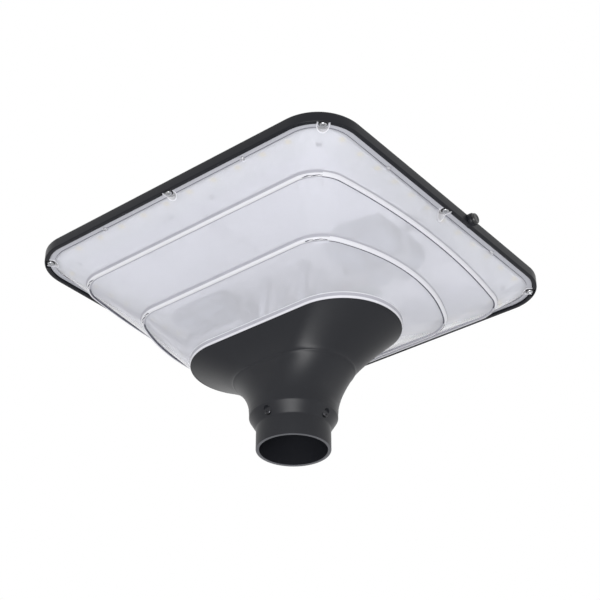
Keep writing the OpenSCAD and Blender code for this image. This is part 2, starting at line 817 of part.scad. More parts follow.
module set_screws() {
    length = collar_r - 3.8 - socket_r - 0.4;
    color(steel_colour) for (a = [0:90:270]) rotate([0, 0, a])
        translate([socket_r + 0.4, 0, set_screw_h]) rotate([0, 90, 0]) difference() {
            cylinder(d = set_screw_d, h = length);
            translate([0, 0, length - 2.5]) cylinder(d = 0.5 * set_screw_d, h = 4, $fn = 6);
        }
}

module support_posts() {
    color(steel_colour) for (p = post_places) translate([p[0], p[1], 0]) difference() {
        translate([0, 0, z_joint]) cylinder(d = post_d, h = z_floor - z_joint);
        translate([0, 0, z_joint - 1]) cylinder(r = m6[0] + screw_gap, h = post_bore_low + 1);
        translate([0, 0, z_floor - post_bore_high]) cylinder(r = m4[0] + screw_gap, h = post_bore_high + 1);
    }
}

module post_screws() {
    color(steel_colour) for (p = post_places) translate([p[0], p[1], 0]) {
        translate([0, 0, z_deck - m4[2]]) cylinder(r1 = m4[0], r2 = m4[1], h = m4[2] - 0.1);
        translate([0, 0, z_floor - post_screw_bite])
            cylinder(r = m4[0], h = post_screw_bite + floor_t - m4[2] + 0.01);
    }
}

module at_batteries() {
    for (s = [-1, 1]) translate([s * battery_x, 0, 0]) children();
}

module battery_cradles() {
    color([0.15, 0.15, 0.16]) at_batteries() difference() {
        union() {
            translate([-cradle_w / 2, -cradle_len / 2, z_cradle]) cube([cradle_w, cradle_len, cradle_t]);
            for (s = [-1, 1]) translate([-cradle_w / 2, s * (cradle_len / 2 - cradle_side / 2) - cradle_side / 2, cell_z])
                cube([cradle_w, cradle_side, z_cradle - cell_z + 1]);
            for (y = [-0.32, 0.32]) translate([-cradle_w / 2, y * cell_len - 2, cell_z])
                cube([cradle_w, 4, z_cradle - cell_z + 1]);
        }
        for (s = [-1, 1]) translate([s * cell_pitch / 2, 0, cell_z]) rotate([90, 0, 0])
            cylinder(d = cell_d + 2 * fit_gap, h = cell_len + 2 * fit_gap + 1, center = true);
    }
}

module battery_cells() {
    color([0.1, 0.35, 0.6]) at_batteries() for (s = [-1, 1])
        translate([s * cell_pitch / 2, 0, cell_z]) rotate([90, 0, 0]) {
            cylinder(d = cell_d, h = cell_len, center = true);
        }
}

module battery_links() {
    color(steel_colour) at_batteries() for (s = [-1, 1])
        translate([-cell_pitch / 2 - link_w / 2, s * (cell_len / 2 + link_t / 2) - link_t / 2, cell_z - link_w / 2])
            cube([cell_pitch + link_w, link_t, link_w]);
}

// A band round the two cells, with a foot screwed to the floor at each side
module battery_straps() {
    inner_w = cradle_w / 2 + 0.6;
    low = cell_z - cell_d / 2 - fit_gap;
    color([0.55, 0.56, 0.57]) at_batteries() difference() {
        union() {
            translate([-inner_w - strap_t, -strap_w / 2, low - strap_t])
                cube([2 * (inner_w + strap_t), strap_w, z_tray - low + strap_t]);
            translate([-inner_w - strap_t - strap_foot, -strap_w / 2, z_tray - strap_t])
                cube([2 * (inner_w + strap_t + strap_foot), strap_w, strap_t]);
        }
        translate([-inner_w, -strap_w, low]) cube([2 * inner_w, 2 * strap_w, z_tray - low + 1]);
        for (s = [-1, 1]) translate([s * (inner_w + strap_t + strap_foot / 2), 0, z_tray - 5])
            cylinder(r = m3[0] + screw_gap, h = 8);
    }
}

module strap_screws() {
    color(steel_colour) for (p = strap_places())
        translate([p[0], p[1], 0]) screw(m3, z_tray - strap_t, strap_t + tray_t + board_screw_bite - 0.3);
}

module controller_board() {
    color([0.1, 0.35, 0.2]) difference() {
        translate([-control_w / 2, control_y - control_d / 2, z_control]) cube([control_w, control_d, control_t]);
        for (p = standoff_places()) translate([p[0], p[1], z_control - 1])
            cylinder(r = m3[0] + screw_gap, h = control_t + 2);
    }
}

// What stands on the controller board's underside: coil, capacitors, chips and sockets
module controller_parts() {
    color([0.18, 0.18, 0.19]) translate([0, control_y, z_control]) {
        translate([-2 * part_pitch, coil_r / 2, -coil_h]) cylinder(r = coil_r, h = coil_h);
        for (x = [-0.5, 0.5]) translate([x * part_pitch, coil_r, -capacitor_h])
            cylinder(r = capacitor_r, h = capacitor_h);
        for (x = [1.5, 2.5]) translate([x * part_pitch - chip_size[0] / 2, 0.25 * coil_r, -chip_size[2]])
            cube(chip_size);
        for (i = [-2:2]) translate([i * socket_pitch - socket_size[0] / 2, -control_d / 2 + 1, -socket_size[2]])
            cube(socket_size);
    }
}

module controller_standoffs() {
    color(steel_colour) for (p = standoff_places()) translate([p[0], p[1], z_control + control_t]) difference() {
        cylinder(r = 3, h = standoff_h);
        translate([0, 0, -1]) cylinder(r = m3[0] + screw_gap, h = standoff_h + 2);
    }
}

module controller_screws() {
    color(steel_colour) for (p = standoff_places())
        translate([p[0], p[1], 0]) screw(m3, z_control, control_t + standoff_h + board_screw_bite - 0.3);
}

// Height at which leads run up to the sockets on the controller board
socket_z = z_control - 4;
socket_y = control_y - control_d / 2 + 1;

module led_leads() {
    y0 = -(half - board_in + 5);
    color([0.85, 0.85, 0.86]) for (s = [-1, 1]) lead([
        [s * pad_x, y0, z_board - 0.05], [s * pad_x, y0, z_lead], [s * 2, y0 + 14, z_lead],
        [s * 2, socket_y - 40, z_lead], [s * 15, socket_y - 12, socket_z], [s * 15, socket_y - 0.1, socket_z]
    ], lead_r);
}

module battery_leads() {
    x0 = battery_x - cell_pitch / 2;
    y0 = cell_len / 2 + link_t;
    color([0.1, 0.1, 0.1]) for (s = [-1, 1]) lead([
        [s * x0, y0 + 0.1, cell_z - 2.5], [s * x0, y0 + 7, cell_z - 2.5], [s * 30, socket_y - 6, socket_z],
        [s * 30, socket_y - 0.1, socket_z]
    ], lead_r);
}

module lead_clips() {
    low = z_lead - lead_r - 0.9;
    color(white_colour) for (share = [0.32, 0.61]) translate([0, -share * tray_half, 0]) difference() {
        translate([-clip_w / 2, -clip_len / 2, low]) cube([clip_w, clip_len, z_tray - low]);
        for (s = [-1, 1]) translate([s * 2, 0, z_lead]) rotate([90, 0, 0])
            cylinder(r = lead_r + 0.1, h = 20, center = true);
    }
}

module switch_body() {
    color([0.08, 0.08, 0.08]) translate([pocket_x, button_y, z_button]) rotate([0, 90, 0]) {
        cylinder(r = cap_r, h = switch_t - 0.8);
        cylinder(r = 2.6, h = switch_t);
    }
}

module switch_seal() {
    color(rubber_colour) translate([pocket_x + switch_t - 0.8, button_y, z_button]) rotate([0, 90, 0])
        difference() {
            cylinder(r = cap_r, h = 0.8);
            translate([0, 0, -1]) cylinder(r = 2.8, h = 3);
        }
}

module switch_button() {
    low = switch_t + button_travel + 0.3;
    high = cap_x - pocket_x;
    color([0.05, 0.05, 0.05]) translate([pocket_x, button_y, z_button]) rotate([0, 90, 0])
        rotate_extrude() polygon([
            [0, low], [cap_r, low], [cap_r, high - 1.6], [cap_r - 0.5, high - 0.6], [cap_r - 1.6, high],
            [cap_r - 2.6, high], [cap_r - 3, high - 0.4], [0, high - 0.5]
        ]);
}

module switch_lead() {
    color([0.85, 0.85, 0.86]) lead([
        [pocket_x - 0.05, button_y, z_button], [lead_drop_x, button_y, z_button],
        [lead_drop_x, button_y, z_board - 1.6], [tray_half + 3, button_y, z_board - 1.6],
        [tray_half - 6, button_y, z_lead], [150, control_y, z_lead], [60, control_y + 6, z_lead],
        [30, control_y + 6, z_lead], [30, control_y + 6, z_control + control_t + 0.05]
    ], button_lead_r, 0.5);
}

top_housing();
panel_glass();
panel_cells();
panel_backsheet();
panel_seal();
panel_lead();
panel_grommet();
lens();
lens_seal();
lens_screws();
reflector_tray();
led_board_left();
led_board_right();
led_chips_left();
led_chips_right();
board_screws();
led_leads();
neck();
neck_seal();
neck_screws();
set_screws();
support_posts();
post_screws();
battery_cradles();
battery_cells();
battery_links();
battery_straps();
strap_screws();
battery_leads();
controller_board();
controller_parts();
controller_standoffs();
controller_screws();
lead_clips();
switch_body();
switch_seal();
switch_button();
switch_lead();
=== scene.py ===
"""The looks of a solar yard light: its studio, its detailed pieces and its finishes."""

from __future__ import annotations

import logging
import math
from dataclasses import dataclass, field
from enum import Enum, IntEnum
from typing import Callable, Iterable, Sequence

import bmesh
import bpy
from mathutils import Matrix, Vector

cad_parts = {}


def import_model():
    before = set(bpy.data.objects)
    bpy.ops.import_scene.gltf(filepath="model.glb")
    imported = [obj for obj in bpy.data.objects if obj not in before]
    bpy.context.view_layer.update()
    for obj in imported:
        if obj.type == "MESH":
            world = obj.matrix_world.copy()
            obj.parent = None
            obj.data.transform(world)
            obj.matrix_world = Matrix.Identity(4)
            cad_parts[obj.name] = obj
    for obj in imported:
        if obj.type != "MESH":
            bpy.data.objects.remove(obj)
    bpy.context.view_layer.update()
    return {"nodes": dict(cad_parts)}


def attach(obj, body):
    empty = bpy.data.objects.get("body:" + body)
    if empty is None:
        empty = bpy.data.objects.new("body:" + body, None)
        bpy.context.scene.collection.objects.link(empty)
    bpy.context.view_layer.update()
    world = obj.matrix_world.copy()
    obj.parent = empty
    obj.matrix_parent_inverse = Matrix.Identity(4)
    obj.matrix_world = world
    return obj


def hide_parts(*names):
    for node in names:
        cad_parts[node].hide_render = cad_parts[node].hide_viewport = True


LOG = logging.getLogger("yard_light")
MM = 0.001

Point = tuple[float, float, float]
Ring = list[Point]


class Ends(Enum):
    """How a loft is closed at its two ends."""

    CAPPED = "capped"
    JOINED = "joined"


class Recess(Enum):
    """The drive in a screw's head."""

    CROSS = "cross"
    HEX = "hex"


class Carve(Enum):
    """What a tool piece does to the piece it is set in."""

    CUT = "DIFFERENCE"
    ADD = "UNION"
    KEEP = "INTERSECT"


class Skin(IntEnum):
    """The material slots of the lens, in order."""

    FROSTED = 0
    CLEAR = 1
    FLANGE = 2
    # Painted dark reflection along the steps' edges.
    EDGE = 3
    POCKET = 4
    INNER = 5
    LAND = 6
    # Painted shade and painted reflection on the steps' walls.
    BAND = 7
    # Painted shade in the corner where the first tier leaves the flange.
    ROOT = 8


# A step's band holds the slot of its straight sides times STRAIGHT, plus the slot of its bowed ends,
# plus BROKEN where painted dark reflection strokes break up its bright line at the corners, until its faces are made.
STRAIGHT = 16
BROKEN = 256


def linear(code: str) -> tuple[float, float, float, float]:
    """Turns an sRGB hex colour into linear numbers.

    Args:
        code: The colour as #rrggbb.

    Returns:
        Linear red, green and blue, and an alpha of 1.
    """
    parts = [int(code[i : i + 2], 16) / 255 for i in (1, 3, 5)]
    red, green, blue = (c / 12.92 if c <= 0.04045 else ((c + 0.055) / 1.055) ** 2.4 for c in parts)
    return red, green, blue, 1.0


def add_node(
    tree: bpy.types.NodeTree,
    kind: str,
    values: dict[str | int, object] | None = None,
    links: dict[str | int, bpy.types.NodeSocket] | None = None,
    **settings: object,
) -> bpy.types.Node:
    """Adds one node with its settings, its socket values and its links.

    Args:
        tree: The node tree of the material or world.
        kind: Blender's name of the node type.
        values: Socket values, by socket name or number.
        links: Sockets that feed this node, by socket name or number.
        **settings: Properties of the node itself.

    Returns:
        The new node.
    """
    node = tree.nodes.new(kind)
    for name, value in settings.items():
        setattr(node, name, value)
    for name, value in (values or {}).items():
        node.inputs[name].default_value = value
    for name, source in (links or {}).items():
        tree.links.new(source, node.inputs[name])
    return node


@dataclass(frozen=True)
class Finish:
    """One surface finish: its colour varies in soft patches and a fine grain lifts it.

    Sizes are in millimetres: grain is the spacing of the fine bump, relief its height
    and patch the size of the colour patches.
    """

    name: str
    colour: str
    roughness: float
    metallic: float = 0.0
    ior: float = 1.5
    specular: float = 0.5
    coat: float = 0.0
    transmission: float = 0.0
    mottle: float = 0.05
    patch: float = 14.0
    grain: float = 0.8
    relief: float = 0.02
    coat_roughness: float = 0.12
    # How far the roughness wanders, as a share of itself, and over how many patches.
    wander: float = 0.12
    wander_patches: float = 2.3

    def material(self) -> bpy.types.Material:
        """Builds the material once, and gives the same one after that.

        Returns:
            The material.
        """
        known = bpy.data.materials.get(self.name)
        if known is not None:
            return known
        made = bpy.data.materials.new(self.name)
        made.use_nodes = True
        tree = made.node_tree
        tree.nodes.clear()
        place = add_node(tree, "ShaderNodeTexCoord").outputs["Object"]
        shader = add_node(
            tree,
            "ShaderNodeBsdfPrincipled",
            {
                "Metallic": self.metallic,
                "IOR": self.ior,
                "Specular IOR Level": self.specular,
                "Coat Weight": self.coat,
                "Coat Roughness": self.coat_roughness,
                "Transmission Weight": self.transmission,
            },
            {"Base Color": self.tint(tree, place), "Roughness": self.gloss(tree, place)},
        )
        tree.links.new(self.lift(tree, place), shader.inputs["Normal"])
        add_node(tree, "ShaderNodeOutputMaterial", None, {"Surface": shader.outputs["BSDF"]})
        made.diffuse_color = linear(self.colour)
        return made

    def tint(self, tree: bpy.types.NodeTree, place: bpy.types.NodeSocket) -> bpy.types.NodeSocket:
        """Gives the colour socket: the finish's colour, a little darker and lighter in patches.

        Args:
            tree: The material's tree.
            place: The object's coordinates.

        Returns:
            The socket.
        """
        noise = add_node(
            tree, "ShaderNodeTexNoise", {"Scale": 1 / (self.patch * MM), "Detail": 3.0}, {"Vector": place}
        )
        level = add_node(
            tree,
            "ShaderNodeMapRange",
            {"To Min": 1 - self.mottle, "To Max": 1 + self.mottle},
            {"Value": noise.outputs["Fac"]},
        )
        scaled = add_node(
            tree,
            "ShaderNodeVectorMath",
            {0: linear(self.colour)[:3]},
            {"Scale": level.outputs["Result"]},
            operation="SCALE",
        )
        return scaled.outputs["Vector"]

    def gloss(self, tree: bpy.types.NodeTree, place: bpy.types.NodeSocket) -> bpy.types.NodeSocket:
        """Gives the roughness socket, which wanders a little round the finish's value.

        Args:
            tree: The material's tree.
            place: The object's coordinates.

        Returns:
            The socket.
        """
        noise = add_node(
            tree,
            "ShaderNodeTexNoise",
            {"Scale": 1 / (self.wander_patches * self.patch * MM), "Detail": 4.0},
            {"Vector": place},
        )
        spread = self.wander * self.roughness
        level = add_node(
            tree,
            "ShaderNodeMapRange",
            {"To Min": self.roughness - spread, "To Max": self.roughness + spread},
            {"Value": noise.outputs["Fac"]},
        )
        return level.outputs["Result"]

    def lift(self, tree: bpy.types.NodeTree, place: bpy.types.NodeSocket) -> bpy.types.NodeSocket:
        """Gives the normal socket: a fine grain of the finish's spacing and height.

        Args:
            tree: The material's tree.
            place: The object's coordinates.

        Returns:
            The socket.
        """
        noise = add_node(
            tree, "ShaderNodeTexNoise", {"Scale": 1 / (self.grain * MM), "Detail": 2.0}, {"Vector": place}
        )
        bump = add_node(
            tree,
            "ShaderNodeBump",
            {"Strength": 1.0, "Distance": self.relief * MM},
            {"Height": noise.outputs["Fac"]},
        )
        return bump.outputs["Normal"]


@dataclass(frozen=True)
class SolarCellFinish(Finish):
    """Monocrystalline silicon under its blue-black coating, with printed silver lines."""

    bar_pitch: float = 19.74
    bar_width: float = 1.5
    # Real fingers are under 0.1 mm wide, drawn wider and fainter here.
    finger_pitch: float = 2.4
    finger_width: float = 0.3
    finger_share: float = 0.12
    # Whole pitches that keep the coordinate positive over the panel, and half a pitch to centre it.
    pitches: float = 400.5
    silver: str = "#a9adb4"

    def lines(
        self, tree: bpy.types.NodeTree, along: bpy.types.NodeSocket, pitch: float, width: float, shift: float
    ) -> bpy.types.NodeSocket:
        """Gives a mask that is 1 on evenly spaced lines.

        Args:
            tree: The material's tree.
            along: The coordinate across the lines, in metres.
            pitch: Spacing of the lines in millimetres.
            width: Width of a line in millimetres.
            shift: Place of one line in millimetres.

        Returns:
            The mask's socket.
        """
        moved = add_node(
            tree, "ShaderNodeMath", {1: (pitch * self.pitches - shift) * MM}, {0: along}, operation="ADD"
        )
        step = add_node(
            tree, "ShaderNodeMath", {1: pitch * MM}, {0: moved.outputs[0]}, operation="MODULO"
        )
        apart = add_node(
            tree,
            "ShaderNodeMath",
            {1: pitch * MM / 2, 2: width * MM / 2},
            {0: step.outputs[0]},
            operation="COMPARE",
        )
        return apart.outputs[0]

    def tint(self, tree: bpy.types.NodeTree, place: bpy.types.NodeSocket) -> bpy.types.NodeSocket:
        """Gives the cell's colour with its busbars and fingers.

        Args:
            tree: The material's tree.
            place: The object's coordinates.

        Returns:
            The socket.
        """
        ground = Finish.tint(self, tree, place)
        split = add_node(tree, "ShaderNodeSeparateXYZ", None, {0: place})
        bars = self.lines(tree, split.outputs["X"], self.bar_pitch, self.bar_width, self.bar_pitch / 2)
        fingers = self.lines(tree, split.outputs["Y"], self.finger_pitch, self.finger_width, 0.0)
        faint = add_node(tree, "ShaderNodeMath", {1: self.finger_share}, {0: fingers}, operation="MULTIPLY")
        both = add_node(tree, "ShaderNodeMath", None, {0: bars, 1: faint.outputs[0]}, operation="MAXIMUM")
        mixed = add_node(
            tree,
            "ShaderNodeMix",
            {"B": linear(self.silver)},
            {"Factor": both.outputs[0]},
            data_type="RGBA",
        )
        tree.links.new(ground, mixed.inputs["A"])
        return mixed.outputs["Result"]


# Powder-coated die-cast aluminium, satin with a fine orange peel.
POWDER_COAT = Finish(
    "powder_coat_satin_black", "#1a1b1f", 0.4, specular=0.25, mottle=0.05, grain=0.9, relief=0.03
)
# The sleeve's turned end, painted lighter and part metallic: a painted highlight along the opening.
END_HIGHLIGHT = Finish(
    "powder_coat_end_painted_highlight", "#515257", 0.36, metallic=0.3, mottle=0.06, patch=9, grain=0.6, relief=0.01
)
# The same coat on the rim, where the casting is smoother.
RIM_COAT = Finish("powder_coat_rim", "#15161b", 0.36, specular=0.2, mottle=0.04, grain=0.9, relief=0.02)
# Opal polycarbonate, moulded with a fine spark-eroded frosting: milky, so what lies behind is a faint blur.
OPAL_LENS = Finish(
    "polycarbonate_frosted", "#f5f6ff", 0.12, ior=1.58, specular=0.3, transmission=0.66, mottle=0.012, patch=60,
    grain=0.6, relief=0.002,
)
# Its inside face, left as smooth as the mould's polished core.
INNER_LENS = Finish(
    "polycarbonate_inner_face", "#fdfdff", 0.05, ior=1.58, transmission=1.0, mottle=0.004, patch=50, grain=5.0,
    relief=0.004,
)
# The same polycarbonate where the mould is polished: bright glossy steps.
CLEAR_LENS = Finish(
    "polycarbonate_polished", "#c6c6cc", 0.12, ior=1.58, specular=0.3, mottle=0.03, patch=9, grain=4.0, relief=0.01
)
# The sharp edges of the steps: a painted dark reflection, dark lines and strokes that stand for the dark of what lies
# inside.
DARK_REFLECTION_LENS = Finish(
    "polycarbonate_painted_dark_reflection", "#50505a", 0.12, ior=1.58, specular=0.3, mottle=0.5, patch=7, grain=2.0, relief=0.01
)
# The walls of the steps along the straight sides: painted shade and painted reflection, grey with what lies inside.
SHADE_BAND_LENS = Finish(
    "polycarbonate_painted_shade_band", "#9a9aa2", 0.14, ior=1.58, specular=0.3, mottle=0.12, patch=14, grain=2.0, relief=0.01
)
# The corner where the first tier leaves the flange, darkened as painted shade.
ROOT_SHADE_LENS = Finish(
    "polycarbonate_root_painted_shade", "#6f6f78", 0.14, ior=1.58, specular=0.3, mottle=0.2, patch=14, grain=2.0, relief=0.01
)
# The land of a step, thinly frosted.
LAND_LENS = Finish(
    "polycarbonate_land", "#c2c2c6", 0.2, ior=1.58, specular=0.3, mottle=0.05, patch=12, grain=2.0, relief=0.01
)
# Solid clear polycarbonate of the screw pockets and the nubs.
POCKET_LENS = Finish(
    "polycarbonate_clear", "#f4f4f8", 0.05, ior=1.58, transmission=0.7, mottle=0.01, patch=50, grain=4.0, relief=0.01
)
# The flange of the lens, satin and darker because the seal and the dark ledge lie behind it.
FLANGE_LENS = Finish(
    "polycarbonate_flange", "#a4a5ac", 0.22, ior=1.58, specular=0.3, mottle=0.04, patch=30, grain=1.5,
    relief=0.01,
)
# Stainless steel, turned and tumbled.
STEEL = Finish("stainless_steel", "#b9babd", 0.28, metallic=1.0, mottle=0.05, patch=6, grain=0.5, relief=0.006)
# Blackened steel of the grub screws.
BLACK_STEEL = Finish("blackened_steel", "#3b3b3e", 0.35, metallic=1.0, mottle=0.08, patch=3, grain=0.4, relief=0.01)
# Moulded silicone rubber, dull.
RUBBER = Finish("silicone_rubber", "#1d1d1f", 0.62, mottle=0.06, patch=8, grain=0.6, relief=0.015)
# White painted sheet steel, the reflector.
WHITE_SHEET = Finish("white_painted_sheet", "#f1f1f3", 0.38, mottle=0.02, patch=30, grain=1.2, relief=0.01)
# White solder mask over glass laminate, slightly glossy.
SOLDER_MASK = Finish("white_solder_mask", "#eceeec", 0.3, coat=0.3, mottle=0.03, patch=9, grain=0.5, relief=0.006)
# LED package: yellow phosphor in clear silicone.
PHOSPHOR = Finish("led_phosphor", "#f2dc7a", 0.25, coat=0.5, mottle=0.08, patch=2, grain=0.3, relief=0.01)
# Tempered low-iron solar glass, smooth.
GLASS = Finish(
    "solar_glass", "#eef4f2", 0.03, ior=1.52, transmission=1.0, mottle=0.004, patch=80, grain=9, relief=0.001
)
# Monocrystalline cells.
SILICON = SolarCellFinish(
    "monocrystalline_cell", "#0e1630", 0.4, specular=0.12, mottle=0.1, patch=40, grain=1.5, relief=0.001
)
# White polyester backsheet.
BACKSHEET = Finish("polyester_backsheet", "#f3f3f5", 0.5, mottle=0.015, patch=20, grain=0.8, relief=0.01)
# Shrink sleeve on the cells: glossy PVC.
SLEEVE = Finish("shrink_sleeve_grey", "#8b9098", 0.25, coat=0.3, mottle=0.06, patch=10, grain=1.8, relief=0.02)
# Injection-moulded ABS, fine spark texture.
BLACK_ABS = Finish("abs_black", "#1b1b1d", 0.48, mottle=0.06, patch=8, grain=0.5, relief=0.02)
# The same in grey.
GREY_ABS = Finish("abs_grey", "#84878c", 0.48, mottle=0.04, patch=8, grain=0.5, relief=0.02)
# The push button: glossy rubber cap.
BUTTON_RUBBER = Finish("rubber_cap_glossy", "#161618", 0.3, coat=0.2, mottle=0.05, patch=4, grain=0.5, relief=0.008)
# Green glass-epoxy laminate.
LAMINATE = Finish("green_laminate", "#1f5a38", 0.35, coat=0.3, mottle=0.12, patch=3, grain=0.6, relief=0.01)
# Red PVC wire insulation.
RED_WIRE = Finish("pvc_insulation_red", "#8e1d1d", 0.4, mottle=0.05, patch=6, grain=0.6, relief=0.01)
# White PVC wire insulation.
WHITE_WIRE = Finish("pvc_insulation_white", "#e3e3e5", 0.4, mottle=0.03, patch=6, grain=0.6, relief=0.01)
# Black PVC wire insulation.
BLACK_WIRE = Finish("pvc_insulation_black", "#1c1c1e", 0.4, mottle=0.05, patch=6, grain=0.6, relief=0.01)
# Natural nylon of spacers and clips, slightly milky.
NYLON = Finish("nylon_natural", "#ededee", 0.45, mottle=0.03, patch=5, grain=0.5, relief=0.01)

LENS_FINISHES: dict[Skin, Finish] = {
    Skin.FROSTED: OPAL_LENS,
    Skin.CLEAR: CLEAR_LENS,
    Skin.FLANGE: FLANGE_LENS,
    Skin.EDGE: DARK_REFLECTION_LENS,
    Skin.POCKET: POCKET_LENS,
    Skin.INNER: INNER_LENS,
    Skin.LAND: LAND_LENS,
    Skin.BAND: SHADE_BAND_LENS,
    Skin.ROOT: ROOT_SHADE_LENS,
}

CAD_FINISHES: dict[str, Finish] = {
    "panel_cells": SILICON,
    "panel_backsheet": BACKSHEET,
    "panel_seal": RUBBER,
    "panel_lead": BLACK_WIRE,
    "panel_grommet": RUBBER,
    "lens_seal": RUBBER,
    "reflector_tray": WHITE_SHEET,
    "led_board_left": SOLDER_MASK,
    "led_board_right": SOLDER_MASK,
    "led_chips_left": PHOSPHOR,
    "led_chips_right": PHOSPHOR,
    "board_screws": STEEL,
    "led_leads": WHITE_WIRE,
    "neck_seal": RUBBER,
    "neck_screws": STEEL,
    "support_posts": STEEL,
    "post_screws": STEEL,
    "battery_cradles": GREY_ABS,
    "battery_cells": SLEEVE,
    "battery_links": STEEL,
    "battery_straps": STEEL,
    "strap_screws": STEEL,
    "battery_leads": RED_WIRE,
    "controller_board": LAMINATE,
    "controller_parts": BLACK_ABS,
    "controller_standoffs": NYLON,
    "controller_screws": STEEL,
    "lead_clips": NYLON,
    "switch_body": BLACK_ABS,
    "switch_seal": RUBBER,
    "switch_lead": WHITE_WIRE,
}


def clear_selection() -> None:
    """Leaves edit mode and deselects everything."""
    if bpy.context.object is not None and bpy.context.object.mode != "OBJECT":
        bpy.ops.object.mode_set(mode="OBJECT")
    bpy.ops.object.select_all(action="DESELECT")


def pick(*pieces: bpy.types.Object) -> None:
    """Selects these pieces alone, the first one active.

    Args:
        *pieces: The pieces.
    """
    clear_selection()
    for piece in pieces:
        piece.select_set(True)
    bpy.context.view_layer.objects.active = pieces[0]


def smooth(piece: bpy.types.Object, angle: float = 35.0) -> None:
    """Shades a piece smooth except across edges sharper than the angle, in degrees."""
    pick(piece)
    bpy.ops.object.shade_smooth_by_angle(angle=math.radians(angle))


def loft(
    name: str,
    rings: Sequence[Ring],
    slots: Sequence[int] | None = None,
    ends: Ends = Ends.CAPPED,
    sharp: float = 35.0,
) -> bpy.types.Object:
    """Draws a skin ring by ring: a circle is placed on the first ring, then extruded to each next one.

    Args:
        name: The piece's name.
        rings: Rings of as many points each, in millimetres.
        slots: The material slot of each band between two rings, or none for slot 0.
        ends: Whether the end rings are capped, or the last ring meets the first.
        sharp: Edges sharper than this angle, in degrees, stay sharp.

    Returns:
        The closed piece.
    """
    clear_selection()
    bpy.ops.mesh.primitive_circle_add(
        vertices=len(rings[0]), radius=0.1, fill_type="NGON" if ends is Ends.CAPPED else "NOTHING"
    )
    piece = bpy.context.object
    piece.name = piece.data.name = name
    bpy.ops.object.mode_set(mode="EDIT")
    bpy.context.tool_settings.mesh_select_mode = (True, False, False)
    mesh = bmesh.from_edit_mesh(piece.data)
    keys = [tuple(v.co) for v in mesh.verts]
    for index, ring in enumerate(rings):
        if index:
            bpy.ops.mesh.extrude_edges_move()
        mesh = bmesh.from_edit_mesh(piece.data)
        fresh = {tuple(v.co): v for v in mesh.verts if v.select}
        loop = [fresh[key] for key in keys]
        for vert, place in zip(loop, ring):
            vert.co = [c * MM for c in place]
            if index and slots:
                for face in vert.link_faces:
                    face.material_index = slots[index - 1]
        keys = [tuple(v.co) for v in loop]
    if ends is Ends.CAPPED:
        bpy.ops.mesh.edge_face_add()
    bpy.ops.mesh.select_all(action="SELECT")
    bpy.ops.mesh.remove_doubles(threshold=1e-6)
    bpy.ops.mesh.normals_make_consistent(inside=False)
    bpy.ops.object.mode_set(mode="OBJECT")
    smooth(piece, sharp)
    return piece


def circle_ring(radius: float, z: float, count: int) -> Ring:
    """A round ring about the z axis."""
    turns = [2 * math.pi * (i + 0.5) / count for i in range(count)]
    return [(radius * math.cos(t), radius * math.sin(t), z) for t in turns]


def turned(
    name: str, profile: Sequence[tuple[float, float]], count: int = 64, sharp: float = 35.0
) -> bpy.types.Object:
    """A round piece about the z axis.

    Args:
        name: The piece's name.
        profile: Radius and height of each ring, in millimetres.
        count: Points round the ring.
        sharp: Edges sharper than this angle stay sharp.

    Returns:
        The closed piece.
    """
    return loft(name, [circle_ring(r, z, count) for r, z in profile], sharp=sharp)


def move(piece: bpy.types.Object, matrix: Matrix) -> bpy.types.Object:
    """Moves a piece's mesh, so that its object stays at the origin."""
    piece.data.transform(matrix)
    return piece


def at(x: float, y: float, z: float) -> Matrix:
    """A shift in millimetres."""
    return Matrix.Translation(Vector((x, y, z)) * MM)


def turn(degrees: float, axis: str) -> Matrix:
    """A turn about an axis of the frame."""
    return Matrix.Rotation(math.radians(degrees), 4, axis)


def twin(piece: bpy.types.Object, matrix: Matrix) -> bpy.types.Object:
    """Copies a piece with its own mesh and moves the copy.

    Args:
        piece: The piece to copy.
        matrix: The copy's move.

    Returns:
        The copy.
    """
    other = piece.copy()
    other.data = piece.data.copy()
    bpy.context.scene.collection.objects.link(other)
    return move(other, matrix)


def joined(name: str, pieces: Sequence[bpy.types.Object]) -> bpy.types.Object:
    """Joins pieces into the first one and renames it.

    Args:
        name: The new name.
        pieces: The pieces, which are used up.

    Returns:
        The joined piece.
    """
    pick(*pieces)
    bpy.ops.object.join()
    piece = bpy.context.object
    piece.name = piece.data.name = name
    return piece


def carve(piece: bpy.types.Object, tool: bpy.types.Object, how: Carve) -> None:
    """Applies a tool piece to a piece and deletes the tool.

    Args:
        piece: The piece that changes.
        tool: The tool piece.
        how: Whether the tool is cut out, added, or what both share is kept.
    """
    modifier = piece.modifiers.new("Carve", "BOOLEAN")
    modifier.operation, modifier.solver, modifier.object = how.value, "EXACT", tool
    pick(piece)
    bpy.ops.object.modifier_apply(modifier=modifier.name)
    bpy.data.objects.remove(tool)


def cut(piece: bpy.types.Object, tools: Iterable[bpy.types.Object]) -> None:
    """Cuts tool pieces out of a piece and shades it again.

    Args:
        piece: The piece that is cut.
        tools: The tool pieces, which are deleted.
    """
    for tool in tools:
        carve(piece, tool, Carve.CUT)
    smooth(piece)


def rounded(points: Sequence[tuple[float, float]], per_span: int) -> list[tuple[float, float]]:
    """A smooth curve through profile points.

    Args:
        points: Profile points.
        per_span: New points for each span.

    Returns:
        The curve's points, from the first to the last.
    """
    padded = [points[0], *points, points[-1]]
    curve = []
    for a, b, c, d in zip(padded, padded[1:], padded[2:], padded[3:]):
        for k in range(per_span):
            t = k / per_span
            weights = (
                -0.5 * t + t * t - 0.5 * t**3,
                1 - 2.5 * t * t + 1.5 * t**3,
                0.5 * t + 2 * t * t - 1.5 * t**3,
                -0.5 * t * t + 0.5 * t**3,
            )
            curve.append(tuple(sum(w * p[i] for w, p in zip(weights, (a, b, c, d))) for i in (0, 1)))
    return [*curve, points[-1]]


